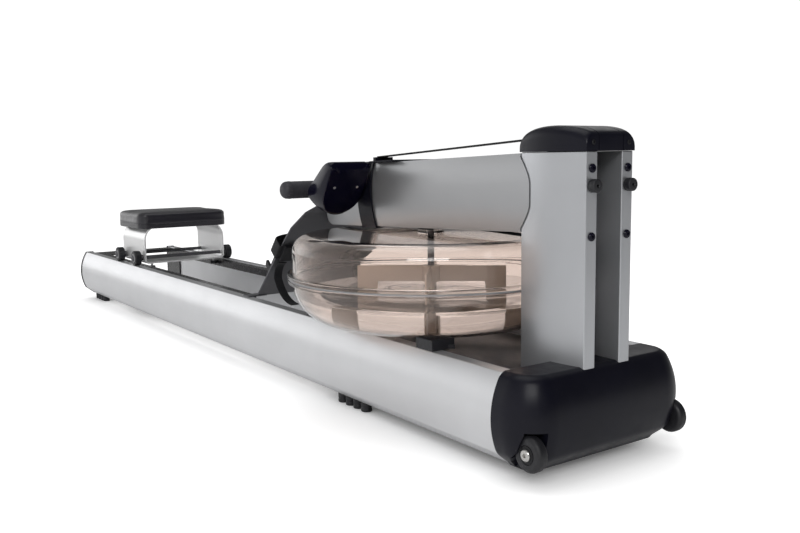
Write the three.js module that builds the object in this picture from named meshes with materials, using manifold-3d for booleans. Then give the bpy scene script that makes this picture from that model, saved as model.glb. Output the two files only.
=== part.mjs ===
// Water rowing machine: two bulged rails, a tower, a pair of beams, a water tank and a rolling seat.
// Millimetres. X is across the machine, Y runs from the tank end to the seat end, Z is up.
// Stations are lengths along the machine, counted from its front end.
import * as THREE from 'three';
import Module from 'manifold-3d';
import { mergeVertices } from 'three/addons/utils/BufferGeometryUtils.js';

const wasm = await Module();
wasm.setup();

// Machine
const machineLength = 2135;
const fitGap = 0.3;
const cutOver = 2;
const roundSteps = 12;
const smallSteps = 12;
const wheelSteps = 20;

// Rails
const railTopZ = 153;
const railBulgeZ = 88;
const railCreaseZ = 38;
const railToeZ = 17.5;
const railInnerX = 127;
const railTopWidth = 21.5;
const railBulgeX = 167.5;
const railCreaseX = 155.7;
const railToeWidth = 3;
const railWall = 2.6;
const railCapThickness = 11;
const railCapRim = 1;
const railPlugLength = 18;

// Seat tracks
const trackWidth = 22.7;
const trackDrop = 2;
const trackFlange = 4;
const trackLip = 3;
const trackLipHeight = 18;
const trackStation = 945;

// Front cap
const capRearStation = 82;
const capFrontStation = 5;
const capRim = 1.5;
const capWall = 3;
const capTopRound = 6;
const capCornerRadius = 57;
const capCavityHalf = 126;
const recessInnerX = 133;
const recessOuterX = 157;
const recessClearance = 4;
const recessUpperStation = 28;
const recessUpperZ = 78;
const recessMiddleStation = 41;
const recessLowerStation = 65;
const recessLowerZ = 30;
const recessRearStation = 75;

// Transport wheels
const rollerRadius = 25.7;
const rollerZ = 51;
const rollerInnerX = 137;
const rollerWidth = 18;
const rollerRound = 5;
const rollerAxleRadius = 4;
const rollerHeadRadius = 8.5;
const rollerHeadLength = 3.5;

// Deck and cross member
const deckTopZ = 127;
const deckPlate = 3;
const deckFrontStation = 84;
const deckRearStation = 620;
const deckLip = 34;
const deckFootZ = 26;
const crossDrop = 2;
const crossFromEnd = 17;
const crossDepth = 106;

// Feet
const footRadius = 10;
const footPitch = 26;
const footCount = 4;
const footX = 121;
const footStripWidth = 22;
const frontFeetStation = 473;
const rearFeetFromEnd = 109;
const footRound = 2;

// Tower
const towerFrontStation = 25;
const towerDepth = 128;
const towerTopZ = 454;
const towerInnerX = 25;
const towerFlatX = 47;
const towerBulgeX = 55.5;
const towerWall = 3;
const towerCapRim = 1.8;
const towerCapSide = 20;
const towerCapHeight = 36.5;
const towerCapWall = 3;
const towerCapRound = 15;
const bumperRadius = 8.7;
const bumperLength = 12;
const bumperZ = 407;
const bumperX = 36;
const bumperHole = 2.2;
const bumperHoleDepth = 6;
const beltSlotHalf = 16;

// Beams, drawn level and then tilted down toward the seat
const beamTiltDegrees = 1.95;
const beamHeight = 116.5;
const beamLength = 562;
const beamFullLength = 436;
const beamWall = 3;
const beamBottomAtTower = 336.2;
const beamTongueHeight = 55.5;
const beamCornerRadius = 15;
const bandStation = 388;
const bandWidth = 46;
const bandThickness = 3;
const guideRadius = 4;
const guideRise = 4.6;
const guideHalf = 17;

// Tank
const tankStation = 438;
const tankRadius = 248;
const tankFlangeWidth = 9;
const tankBottomZ = 160;
const tankFloorRadius = 172;
const tankBowlTopZ = 234;
const tankFlangeThickness = 6;
const tankRingThickness = 2.4;
const tankRingInset = 3;
const tankTopZ = 316;
const tankShoulder = 30;
const tankWall = 4;
const tankBossRadius = 24;
const tankBossHeight = 4;
const tankSteps = 36;
const waterLevelZ = 212;
const shaftRadius = 6;
const shaftCupRadius = 14;
const shaftCupHeight = 6;
const paddleRadius = 134;
const paddleTurnDegrees = -41;
const paddleArmTopZ = 256;
const paddleArmHeight = 28;
const paddleSheet = 3;
const paddleArmCount = 4;
const paddleHubRadius = 16;
const paddleFinInnerRadius = 96;
const paddleFinDrop = 50;
const paddleSweepClearance = 4;
const matArmWidth = 44;
const matBlockHeight = 17;
const matBlockWidth = 44;
const matBlockNear = 155;
const matBlockFar = 226;

// Belt drive
const beltThickness = 1.6;
const beltWidth = 24;
const pulleyRadius = 36;
const pulleyWidth = 28;
const pulleyRim = 3;
const pulleyStation = 98;
const pulleyZ = 441;
const pulleyAxleRadius = 6;
const pulleyAxleHalf = 40;
const spoolRadius = 19;
const spoolFlangeRadius = 23;
const spoolFlange = 2.5;
const spoolBaseZ = 322;
const spoolHeight = 48;
const cordRadius = 3.5;
const spoolWrap = Math.PI;
const cordGrooveHeight = 11;
const recoilRadius = 24;
const recoilStation = 123;
const recoilZ = 296;
const recoilWidth = 14;
const recoilRim = 3;
const cordAnchorRadius = 8;
const cordAnchorHeight = 9;

// Handle
const handleClearance = 16.7;
const handleLength = 364;
const handleRadius = 16.3;
const handleEndRound = 11;
const handleHookRadius = 19;
const handleHookHalf = 15;

// Monitor, in the beams' frame
const monitorWidth = 84;
const monitorHeight = 96;
const monitorTopDepth = 22;
const monitorBevel = 14;
const monitorBevelDepth = 6;
const monitorSlopeLength = 78;
const monitorSlopeDegrees = 35;
const monitorNoseRound = 12;
const monitorChinDepth = 59;
const monitorChinRound = 40;
const monitorChinHalf = 33;
const monitorHeelRise = 14;
const monitorLean = 45;
const monitorStation = 378;
const monitorRise = 3.2;
const monitorCorner = 9;
const screenWidth = 62;
const screenHeight = 34;
const screenThickness = 2;
const screenMargin = 7;
const buttonRadius = 4;
const buttonHeight = 5;
const buttonProud = 2;
const buttonTravel = 1;
const buttonPitch = 20;
const buttonCount = 3;
const buttonDrop = 14;
const armThickness = 3;
const armFrontStation = 312;
const armRearGap = 4;
const armFarX = 40;
const armFlangeDepth = 24;
const armEyeRadius = 12;
const pivotRadius = 7;
const pivotLength = 14;
const pivotDrop = 37;
const pivotSetback = 29;

// Footboard
const boardThickness = 3;
const boardTopStation = 729;
const boardTopZ = 354;
const boardBendStation = 745;
const boardBendZ = 341;
const boardBottomStation = 912;
const boardBottomHalf = 118;
const boardTopHalfShare = 0.55;
const boardWidthShares = [[0, 0.72], [0.17, 0.88], [0.42, 0.93], [1, 1]];
const boardTabInnerX = 96;
const boardTabOuterX = 140;
const boardTabLength = 24;
const boardTabOverlap = 4;
const boardCheekGap = 0.4;
const boardCheekFront = 690;
const boardCheekDepth = 26;
const boardCheekRun = 22;

// Footrests and straps, in the frame of the footboard's slope
const restWidth = 92;
const restLength = 186;
const restThickness = 5;
const restCentreX = 54;
const restFromBottom = 22;
const restGap = 0.5;
const restToeRound = 20;
const heelHeight = 34;
const heelThickness = 6;
const restWallHeight = 14;
const restWallLength = 50;
const slideBlockWidth = 10;
const slideBlockLength = 40;
const slideBlockFromHeel = 96;
const slideHeadWidth = 22;
const slideHeadThickness = 4;
const restTravelUp = 50;
const restTravelDown = 8;
const strapWidth = 36;
const strapThickness = 2.2;
const strapHeight = 60;
const strapFromHeel = 100;
const strapInset = 5;
const strapClearance = 1.2;
const strapTail = 38;
const buckleWidth = 30;
const buckleLength = 42;
const buckleThickness = 8;

// Seat
const seatFromEnd = 410;
const seatWheelRadius = 20.5;
const seatWheelWidth = 18.5;
const seatWheelInnerX = 128.5;
const seatWheelBase = 148;
const seatWheelHubRadius = 13;
const seatWheelHubProud = 1.5;
const seatWheelRound = 2.5;
const seatAxleRadius = 5;
const seatAxleCollar = 8.5;
const seatAxleHeadRadius = 8;
const seatAxleHead = 3;
const seatFrameDepth = 192;
const seatFrameSheet = 4;
const seatFrameHalf = 120;
const seatFrameBottomZ = 157;
const seatFrameTopZ = 266;
const seatFrameCorner = 10;
const seatFrameBend = 40;
const seatFlangeInnerX = 52;
const padHeight = 40;
const padWidth = 270;
const padDepth = 210;
const padCrown = 4;
const padDrawIn = 3.5;
const padEdgeRound = 9;
const padFootRound = 3;
const padSquareness = 5;
const padSteps = 48;
const padSideShares = [[0.28, 0.7], [0.42, 1], [0.56, 0.5]];
const padCrownShares = [0.88, 0.7, 0.45, 0.2];
const guideRollerRadius = 9.5;
const guideRollerHeight = 9;
const guideRollerZ = 140;
const guideRollerOffset = 75;
const guidePinRadius = 3;
const guidePinHeadRadius = 5.5;
const guidePinHead = 2.5;

// Derived places
const at = (station) => station - machineLength / 2;
const railTopX = railInnerX + railTopWidth;
const crossRearStation = machineLength - crossFromEnd;
const crossFrontStation = crossRearStation - crossDepth;
const rearFeetStation = machineLength - rearFeetFromEnd;
const seatStation = machineLength - seatFromEnd;
const tankFlangeRadius = tankRadius + tankFlangeWidth;
const railRearStation = machineLength - railCapThickness;
const towerRearStation = towerFrontStation + towerDepth;
const beamTilt = THREE.MathUtils.degToRad(beamTiltDegrees);
const seatAxleZ = railTopZ + fitGap + seatWheelRadius;
const boardBottomZ = railTopZ + fitGap + boardThickness / 2;
const monitorSideX = towerBulgeX + 2 * fitGap + bandThickness + armThickness + fitGap;
const monitorTopZ = beamHeight + monitorRise;
const handleAxisRise = beamTongueHeight + fitGap + handleRadius;
const displaySlope = THREE.MathUtils.degToRad(monitorSlopeDegrees);
const monitorNoseReach = monitorSlopeLength * Math.cos(displaySlope)
  + monitorNoseRound * (1 - Math.sin(displaySlope));
const handleAlong = monitorStation + monitorTopDepth + monitorNoseReach + handleClearance + handleRadius;

// Materials
function finish(color, roughness, metalness) {
  return new THREE.MeshStandardMaterial({ color, roughness, metalness });
}
const silver = finish('#b9bcc0', 0.38, 0.9);
const darkSteel = finish('#4b4d52', 0.5, 0.6);
const brightSteel = finish('#d6d7d8', 0.2, 1);
const blackPlastic = finish('#1d1c22', 0.5, 0);
const blackRubber = finish('#17171a', 0.8, 0);
const webbing = finish('#141416', 0.9, 0);
const smokyClear = finish('#b5aaa2', 0.1, 0);
const waterTint = finish('#9fb0b4', 0.05, 0);
const greyMetal = finish('#85878b', 0.35, 0.9);
const padFoam = finish('#23222a', 0.7, 0);
const displayGrey = finish('#8c9488', 0.3, 0);

// Solids and meshes
const machine = new THREE.Group();
machine.name = 'water_rowing_machine';

function signedVolume(position, index) {
  const a = new THREE.Vector3();
  const b = new THREE.Vector3();
  const c = new THREE.Vector3();
  let volume = 0;
  for (let i = 0; i < index.length; i += 3) {
    a.fromBufferAttribute(position, index[i]);
    b.fromBufferAttribute(position, index[i + 1]);
    c.fromBufferAttribute(position, index[i + 2]);
    volume += a.dot(b.cross(c));
  }
  return volume;
}

function toSolid(geometry) {
  const bare = geometry.clone();
  bare.deleteAttribute('normal');
  bare.deleteAttribute('uv');
  const merged = mergeVertices(bare);
  const all = Array.from(merged.index.array);
  const kept = [];
  for (let i = 0; i < all.length; i += 3) {
    const [a, b, c] = all.slice(i, i + 3);
    if (a !== b && b !== c && c !== a) kept.push(a, b, c);
  }
  if (signedVolume(merged.attributes.position, kept) < 0) kept.reverse();
  return new wasm.Manifold(new wasm.Mesh({
    numProp: 3,
    vertProperties: new Float32Array(merged.attributes.position.array),
    triVerts: new Uint32Array(kept),
  }));
}

function toGeometry(solid) {
  const mesh = solid.getMesh();
  const geometry = new THREE.BufferGeometry();
  geometry.setAttribute('position', new THREE.BufferAttribute(new Float32Array(mesh.vertProperties), 3));
  geometry.setIndex(new THREE.BufferAttribute(new Uint32Array(mesh.triVerts), 1));
  geometry.computeVertexNormals();
  return geometry;
}

function addPiece(name, solid, material, parent = machine) {
  const mesh = new THREE.Mesh(toGeometry(solid), material);
  mesh.name = name;
  parent.add(mesh);
  return mesh;
}

const joined = (...solids) => solids.reduce((whole, next) => whole.add(next));
const without = (solid, ...cutters) => cutters.reduce((whole, next) => whole.subtract(next), solid);
const common = (...solids) => solids.reduce((whole, next) => whole.intersect(next));

// Basic shapes. An outline is a list of [x, y] points.
function extrudeOutline(outline, length) {
  const shape = new THREE.Shape(outline.map(([x, y]) => new THREE.Vector2(x, y)));
  return new THREE.ExtrudeGeometry(shape, { depth: length, bevelEnabled: false });
}

function prismAlongX(outlineYZ, x0, x1) {
  const basis = new THREE.Matrix4().makeBasis(
    new THREE.Vector3(0, 1, 0), new THREE.Vector3(0, 0, 1), new THREE.Vector3(1, 0, 0));
  return toSolid(extrudeOutline(outlineYZ, x1 - x0).applyMatrix4(basis).translate(x0, 0, 0));
}

function prismAlongY(outlineXZ, y0, y1) {
  const basis = new THREE.Matrix4().makeBasis(
    new THREE.Vector3(1, 0, 0), new THREE.Vector3(0, 0, 1), new THREE.Vector3(0, -1, 0));
  return toSolid(extrudeOutline(outlineXZ, y1 - y0).applyMatrix4(basis).translate(0, y1, 0));
}

function prismAlongZ(outlineXY, z0, z1) {
  return toSolid(extrudeOutline(outlineXY, z1 - z0).translate(0, 0, z0));
}

function boxBetween(x0, x1, y0, y1, z0, z1) {
  const geometry = new THREE.BoxGeometry(x1 - x0, y1 - y0, z1 - z0);
  return toSolid(geometry.translate((x0 + x1) / 2, (y0 + y1) / 2, (z0 + z1) / 2));
}

function rodAlongX(radius, x0, x1, y, z, steps = smallSteps) {
  const geometry = new THREE.CylinderGeometry(radius, radius, x1 - x0, steps);
  return toSolid(geometry.rotateZ(Math.PI / 2).translate((x0 + x1) / 2, y, z));
}

function rodAlongY(radius, x, y0, y1, z, steps = smallSteps) {
  const geometry = new THREE.CylinderGeometry(radius, radius, y1 - y0, steps);
  return toSolid(geometry.translate(x, (y0 + y1) / 2, z));
}

function rodAlongZ(radius, x, y, z0, z1, steps = smallSteps) {
  const geometry = new THREE.CylinderGeometry(radius, radius, z1 - z0, steps);
  return toSolid(geometry.rotateX(Math.PI / 2).translate(x, y, (z0 + z1) / 2));
}

function lathe(profile, steps) {
  return new THREE.LatheGeometry(profile.map(([r, h]) => new THREE.Vector2(r, h)), steps);
}

function turnedAlongZ(profile, x, y, steps = smallSteps) {
  return toSolid(lathe(profile, steps).rotateX(Math.PI / 2).translate(x, y, 0));
}

function turnedAlongX(profile, y, z, steps = smallSteps) {
  return toSolid(lathe(profile, steps).rotateZ(-Math.PI / 2).translate(0, y, z));
}

// A bore whose flats clear a round rod of the given radius
const boreFor = (radius) => (radius + fitGap) / Math.cos(Math.PI / smallSteps);

// Points on a circle arc, from one angle to another in radians
function arc(cx, cy, rx, ry, from, to, steps) {
  const points = [];
  for (let i = 0; i <= steps; i += 1) {
    const angle = from + (to - from) * i / steps;
    points.push([cx + rx * Math.cos(angle), cy + ry * Math.sin(angle)]);
  }
  return points;
}

// Arc through three points, taken from the first to the last
function arcThrough(first, middle, last, steps) {
  const [ax, ay] = first;
  const [bx, by] = middle;
  const [cx, cy] = last;
  const d = 2 * (ax * (by - cy) + bx * (cy - ay) + cx * (ay - by));
  const a2 = ax * ax + ay * ay;
  const b2 = bx * bx + by * by;
  const c2 = cx * cx + cy * cy;
  const ux = (a2 * (by - cy) + b2 * (cy - ay) + c2 * (ay - by)) / d;
  const uy = (a2 * (cx - bx) + b2 * (ax - cx) + c2 * (bx - ax)) / d;
  const radius = Math.hypot(ax - ux, ay - uy);
  const start = Math.atan2(ay - uy, ax - ux);
  const turn = (angle) => ((angle - start) % (2 * Math.PI) + 2 * Math.PI) % (2 * Math.PI);
  const middleTurn = turn(Math.atan2(by - uy, bx - ux));
  const lastTurn = turn(Math.atan2(cy - uy, cx - ux));
  const sweep = middleTurn <= lastTurn ? lastTurn : lastTurn - 2 * Math.PI;
  const points = arc(ux, uy, radius, radius, start, start + sweep, steps);
  points[0] = first;
  points[steps] = last;
  return points;
}

function roundedRectangle(x0, x1, y0, y1, radius, steps) {
  const r = Math.min(radius, (x1 - x0) / 2, (y1 - y0) / 2);
  return [
    ...arc(x1 - r, y1 - r, r, r, 0, Math.PI / 2, steps),
    ...arc(x0 + r, y1 - r, r, r, Math.PI / 2, Math.PI, steps),
    ...arc(x0 + r, y0 + r, r, r, Math.PI, 1.5 * Math.PI, steps),
    ...arc(x1 - r, y0 + r, r, r, 1.5 * Math.PI, 2 * Math.PI, steps),
  ];
}

function areaOf(outline) {
  return outline.reduce((sum, [x, y], i) => {
    const [nextX, nextY] = outline[(i + 1) % outline.length];
    return sum + (x * nextY - nextX * y) / 2;
  }, 0);
}

// The outline moved out by a distance, or in by a negative one, with mitred corners
function offsetOutline(outline, distance) {
  const turn = areaOf(outline) > 0 ? 1 : -1;
  const count = outline.length;
  return outline.map(([x, y], i) => {
    const [px, py] = outline[(i + count - 1) % count];
    const [nx, ny] = outline[(i + 1) % count];
    const before = new THREE.Vector2(x - px, y - py).normalize();
    const after = new THREE.Vector2(nx - x, ny - y).normalize();
    const outBefore = new THREE.Vector2(before.y, -before.x).multiplyScalar(turn);
    const outAfter = new THREE.Vector2(after.y, -after.x).multiplyScalar(turn);
    const way = outBefore.clone().add(outAfter).normalize();
    const reach = distance / way.dot(outAfter);
    return [x + way.x * reach, y + way.y * reach];
  });
}

// A band of even thickness along a line of points
function bandOutline(line, thickness) {
  const side = (sign) => line.map(([x, y], i) => {
    const [px, py] = line[Math.max(i - 1, 0)];
    const [nx, ny] = line[Math.min(i + 1, line.length - 1)];
    const before = i > 0 ? new THREE.Vector2(x - px, y - py).normalize() : null;
    const after = i < line.length - 1 ? new THREE.Vector2(nx - x, ny - y).normalize() : null;
    const first = before || after;
    const second = after || before;
    const way = new THREE.Vector2(-first.y - second.y, first.x + second.x).normalize();
    const reach = sign * thickness / 2 / way.dot(new THREE.Vector2(-second.y, second.x));
    return [x + way.x * reach, y + way.y * reach];
  });
  return [...side(1), ...side(-1).reverse()];
}

// A body through rings of equally many points, closed by a fan to one point at each end
function lofted(rings, firstPoint, lastPoint) {
  const steps = rings[0].length;
  const positions = rings.flat(2);
  const index = [];
  for (let i = 0; i + 1 < rings.length; i += 1) {
    for (let j = 0; j < steps; j += 1) {
      const a = i * steps + j;
      const b = i * steps + (j + 1) % steps;
      index.push(a, b, b + steps, a, b + steps, a + steps);
    }
  }
  const lower = positions.length / 3;
  positions.push(...firstPoint, ...lastPoint);
  const last = (rings.length - 1) * steps;
  for (let j = 0; j < steps; j += 1) {
    const next = (j + 1) % steps;
    index.push(lower, next, j, lower + 1, last + j, last + next);
  }
  const geometry = new THREE.BufferGeometry();
  geometry.setAttribute('position', new THREE.BufferAttribute(new Float32Array(positions), 3));
  geometry.setIndex(index);
  return geometry;
}

const mirrored = (outline, side) => outline.map(([x, y]) => [x * side, y]);
const sides = [{ side: -1, name: 'left' }, { side: 1, name: 'right' }];

// Rails
function railOutline() {
  return [
    [railInnerX, railTopZ],
    ...arcThrough([railTopX, railTopZ], [railBulgeX, railBulgeZ], [railCreaseX, railCreaseZ], roundSteps),
    [railInnerX + railToeWidth, railToeZ],
    [railInnerX, railToeZ],
  ];
}

// The hollow follows the outside, and its lower corner is where the slope meets the inner wall
function railHollow(wall) {
  const outer = railOutline();
  const slope = (railCreaseZ - railToeZ) / (railCreaseX - railInnerX - railToeWidth);
  const sharp = [...outer.slice(0, -2), [railInnerX, railToeZ - slope * railToeWidth]];
  return offsetOutline(sharp, -wall);
}

function addRails() {
  for (const { side, name } of sides) {
    const outer = railOutline();
    const front = at(capRearStation + fitGap);
    const rear = at(railRearStation - fitGap);
    const body = prismAlongY(mirrored(outer, side), front, rear);
    const bore = prismAlongY(mirrored(railHollow(railWall), side), front - cutOver, rear + cutOver);
    addPiece(`${name}_rail`, without(body, bore), silver);
    const lid = prismAlongY(mirrored(offsetOutline(outer, railCapRim), side),
      at(railRearStation), at(machineLength));
    const plug = prismAlongY(mirrored(railHollow(railWall + fitGap), side),
      at(railRearStation - railPlugLength), at(railRearStation + cutOver));
    addPiece(`${name}_rail_end_cap`, joined(lid, plug), blackPlastic);
  }
}

// Seat tracks: an angle whose lip hangs down the rail's inner side
function addTracks() {
  for (const { side, name } of sides) {
    const outer = railInnerX - fitGap;
    const inner = outer - trackWidth;
    const top = railTopZ - trackDrop;
    const outline = [
      [inner, top],
      [outer, top],
      [outer, top - trackLipHeight],
      [outer - trackLip, top - trackLipHeight],
      [outer - trackLip, top - trackFlange],
      [inner + trackLip, top - trackFlange],
      [inner + trackLip, top - trackLipHeight],
      [inner, top - trackLipHeight],
    ];
    addPiece(`${name}_seat_track`, prismAlongY(mirrored(outline, side),
      at(trackStation), at(crossFrontStation - fitGap)), blackPlastic);
  }
}

// Trays between the rails: a flat top, two side flanges and an inward lip at each foot
function trayOutline(topZ) {
  const half = railInnerX - fitGap;
  const right = [
    [half, topZ],
    [half, deckFootZ],
    [half - deckLip, deckFootZ],
    [half - deckLip, deckFootZ + deckPlate],
    [half - deckPlate, deckFootZ + deckPlate],
    [half - deckPlate, topZ - deckPlate],
  ];
  return [...right, ...mirrored(right, -1).reverse()];
}

function addTrays() {
  const deck = prismAlongY(trayOutline(deckTopZ), at(deckFrontStation), at(deckRearStation));
  const anchorY = at(recoilStation) - recoilRadius - fitGap - cordRadius;
  const anchor = rodAlongZ(cordAnchorRadius, 0, anchorY, deckTopZ - deckPlate / 2,
    deckTopZ + cordAnchorHeight);
  addPiece('tank_deck', joined(deck, anchor), darkSteel);
  const cross = prismAlongY(trayOutline(railTopZ - crossDrop), at(crossFrontStation), at(crossRearStation));
  addPiece('rear_cross_member', cross, blackPlastic);
}

// Feet: a row of round pads on a common strip
function addFeet() {
  const rows = [
    { row: 'front', station: frontFeetStation },
    { row: 'rear', station: rearFeetStation },
  ];
  for (const { row, station } of rows) {
    for (const { side, name } of sides) {
      const top = deckFootZ - fitGap;
      const padTop = railToeZ - fitGap;
      const x = footX * side;
      const pads = [];
      for (let i = 0; i < footCount; i += 1) {
        const profile = [
          [0, 0],
          [footRadius - footRound, 0],
          [footRadius, footRound],
          [footRadius, padTop],
          [0, padTop],
        ];
        pads.push(turnedAlongZ(profile, x, at(station + i * footPitch)));
      }
      const stripEnd = railInnerX - fitGap;
      const from = side < 0 ? -stripEnd : stripEnd - footStripWidth;
      const strip = boxBetween(from, from + footStripWidth, at(station) - footRadius,
        at(station + (footCount - 1) * footPitch) + footRadius, padTop - footRound, top);
      addPiece(`${row}_${name}_feet`, joined(strip, ...pads), blackRubber);
    }
  }
}

// Tower: the plan outline of one upright, flat inside and bulged outside
function uprightOutline() {
  const front = at(towerFrontStation);
  const rear = at(towerRearStation);
  const bulge = [towerBulgeX, (front + rear) / 2];
  return [
    [towerInnerX, front],
    ...arcThrough([towerFlatX, front], bulge, [towerFlatX, rear], roundSteps),
    [towerInnerX, rear],
  ];
}

function uprightCutter(side, bottomZ, topZ) {
  return prismAlongZ(mirrored(offsetOutline(uprightOutline(), fitGap), side), bottomZ, topZ);
}

function addUprights() {
  for (const { side, name } of sides) {
    const outer = uprightOutline();
    const body = prismAlongZ(mirrored(outer, side), deckTopZ + fitGap, towerTopZ);
    const bore = prismAlongZ(mirrored(offsetOutline(outer, -towerWall), side),
      deckTopZ - cutOver, towerTopZ + cutOver);
    const inner = towerInnerX - cutOver;
    const axleEnd = towerInnerX + towerWall + cutOver;
    const from = side < 0 ? -axleEnd : inner;
    const axleHoles = [[pulleyStation, pulleyZ], [recoilStation, recoilZ]].map(([station, z]) => (
      rodAlongX(boreFor(pulleyAxleRadius), from, from + axleEnd - inner, at(station), z)));
    addPiece(`${name}_upright`, without(body, bore, ...axleHoles), silver);
    const bumper = rodAlongY(bumperRadius, bumperX * side, at(towerFrontStation - bumperLength),
      at(towerFrontStation) - fitGap, bumperZ);
    const hole = rodAlongY(bumperHole, bumperX * side, at(towerFrontStation - bumperLength) - cutOver,
      at(towerFrontStation - bumperLength + bumperHoleDepth), bumperZ);
    addPiece(`${name}_bumper`, without(bumper, hole), blackRubber);
  }
}

// Top cap: a crowned cover in three segments, the middle one hollow for the pulley
function addTopCaps() {
  const bottom = towerTopZ + fitGap;
  const front = at(towerFrontStation) - towerCapRim;
  const rear = at(towerRearStation) + towerCapRim;
  const centre = (front + rear) / 2;
  const half = (rear - front) / 2;
  const crown = towerCapHeight - towerCapSide;
  const sideView = [
    [front, bottom],
    [rear, bottom],
    ...arc(centre, bottom + towerCapSide, half, crown, 0, Math.PI, 2 * roundSteps),
  ];
  const reach = towerBulgeX + towerCapRim;
  const frontView = roundedRectangle(-reach, reach, bottom - 2 * towerCapRound,
    bottom + towerCapHeight, towerCapRound, roundSteps / 2);
  const rounded = prismAlongY(frontView, front - cutOver, rear + cutOver);
  for (const { side, name } of sides) {
    const plan = prismAlongZ(mirrored(offsetOutline(uprightOutline(), towerCapRim), side),
      bottom, bottom + towerCapHeight + cutOver);
    const inner = towerInnerX + fitGap;
    const strip = side < 0
      ? prismAlongX(sideView, -reach, -inner)
      : prismAlongX(sideView, inner, reach);
    addPiece(`${name}_top_cap`, common(plan, strip, rounded), blackPlastic);
  }
  const middle = prismAlongX(sideView, -towerInnerX, towerInnerX);
  const inside = [
    [front + towerCapWall, bottom - cutOver],
    [rear - towerCapWall, bottom - cutOver],
    ...arc(centre, bottom + towerCapSide, half - towerCapWall, crown - towerCapWall, 0, Math.PI,
      2 * roundSteps),
  ];
  const cavity = prismAlongX(inside, towerCapWall - towerInnerX, towerInnerX - towerCapWall);
  const slot = boxBetween(-beltSlotHalf, beltSlotHalf, centre, rear + cutOver, bottom - cutOver,
    bottom + towerCapSide + crown / 2);
  addPiece('middle_top_cap', without(middle, cavity, slot), blackPlastic);
}

// Front cap: the rails' outline carried round the front as a hollow cover for the tower's foot
function capPlan(halfWidth, inset, rear) {
  const drawIn = railBulgeX + capRim - halfWidth + inset;
  const front = at(capFrontStation) + drawIn;
  const radius = capCornerRadius - drawIn;
  const x = halfWidth - inset;
  return [
    [x, rear],
    [-x, rear],
    ...arc(radius - x, front + radius, radius, radius, Math.PI, 1.5 * Math.PI, roundSteps / 2),
    ...arc(x - radius, front + radius, radius, radius, 1.5 * Math.PI, 2 * Math.PI, roundSteps / 2),
  ];
}

function capBody(rim, topRound, rear, bottomDrop) {
  const half = offsetOutline(railOutline(), rim).slice(1, -1).reverse();
  const topZ = railTopZ + rim;
  const levels = half.filter(([, z]) => z < topZ - topRound).map(([x, z]) => ({ x, z, inset: 0 }));
  if (bottomDrop > 0) levels.unshift({ ...levels[0], z: levels[0].z - bottomDrop });
  const [edgeX] = half[half.length - 1];
  const edge = topRound > 0
    ? arc(topRound, topZ - topRound, topRound, topRound, Math.PI, Math.PI / 2, roundSteps / 3)
    : [[0, topZ]];
  levels.push(...edge.map(([inset, z]) => ({ x: edgeX, z, inset })));
  const rings = levels.map(({ x, z, inset }) => (
    capPlan(x + capRim - rim, inset + capRim - rim, rear).map(([px, py]) => [px, py, z])));
  const middle = rear - capRearStation / 2;
  return toSolid(lofted(rings, [0, middle, levels[0].z], [0, middle, topZ]));
}

function addFrontCap() {
  const rear = at(capRearStation);
  const outerX = railBulgeX + capRim + cutOver;
  const bottomZ = railToeZ - capRim - cutOver;
  const topZ = railTopZ + capRim;
  const cavity = common(capBody(capRim - capWall, 0, rear + cutOver, capWall + cutOver),
    boxBetween(-capCavityHalf, capCavityHalf, at(0), rear + 2 * cutOver, bottomZ - capWall, topZ));
  const reach = rollerRadius + recessClearance;
  const openings = sides.flatMap(({ side }) => {
    const wheelFrom = side < 0 ? -recessOuterX : recessInnerX;
    const edgeFrom = side < 0 ? -outerX : recessInnerX;
    const outline = [
      [at(0) - cutOver, rollerZ + reach],
      [at(recessUpperStation), rollerZ + reach],
      [at(recessUpperStation), recessUpperZ],
      [at(recessMiddleStation), rollerZ],
      [at(recessLowerStation), recessLowerZ],
      [at(recessRearStation), bottomZ],
      [at(0) - cutOver, bottomZ],
    ];
    return [
      boxBetween(wheelFrom, wheelFrom + recessOuterX - recessInnerX, at(0) - cutOver,
        at(rollerRadius + reach), bottomZ, rollerZ + reach),
      prismAlongX(outline, edgeFrom, edgeFrom + outerX - recessInnerX),
    ];
  });
  const uprights = sides.map(({ side }) => uprightCutter(side, deckTopZ - cutOver, topZ + cutOver));
  const axleHole = rodAlongX(boreFor(rollerAxleRadius), -railBulgeX, railBulgeX, at(rollerRadius), rollerZ);
  const body = capBody(capRim, capTopRound, rear, 0);
  addPiece('front_cap', without(body, cavity, ...openings, ...uprights, axleHole), blackPlastic);
}

// Transport wheels on one axle with a round head at each end
function addTransportWheels() {
  const outer = rollerInnerX + rollerWidth;
  for (const { side, name } of sides) {
    const bore = boreFor(rollerAxleRadius);
    const profile = [
      [bore, rollerInnerX],
      [rollerRadius - rollerRound, rollerInnerX],
      ...arc(rollerRadius - rollerRound, rollerInnerX + rollerRound, rollerRound, rollerRound,
        -Math.PI / 4, 0, roundSteps / 6),
      ...arc(rollerRadius - rollerRound, outer - rollerRound, rollerRound, rollerRound, 0,
        Math.PI / 2, roundSteps / 4),
      [bore, outer],
      [bore, rollerInnerX],
    ];
    addPiece(`${name}_transport_wheel`, turnedAlongX(profile.map(([r, h]) => [r, h * side]),
      at(rollerRadius), rollerZ, wheelSteps), blackRubber);
  }
  const end = outer + fitGap;
  const axle = [
    [0, -end - rollerHeadLength],
    [rollerHeadRadius, -end - rollerHeadLength],
    [rollerHeadRadius, -end],
    [rollerAxleRadius, -end],
    [rollerAxleRadius, end],
    [rollerHeadRadius, end],
    [rollerHeadRadius, end + rollerHeadLength],
    [0, end + rollerHeadLength],
  ];
  addPiece('transport_axle', turnedAlongX(axle, at(rollerRadius), rollerZ), brightSteel);
}

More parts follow.
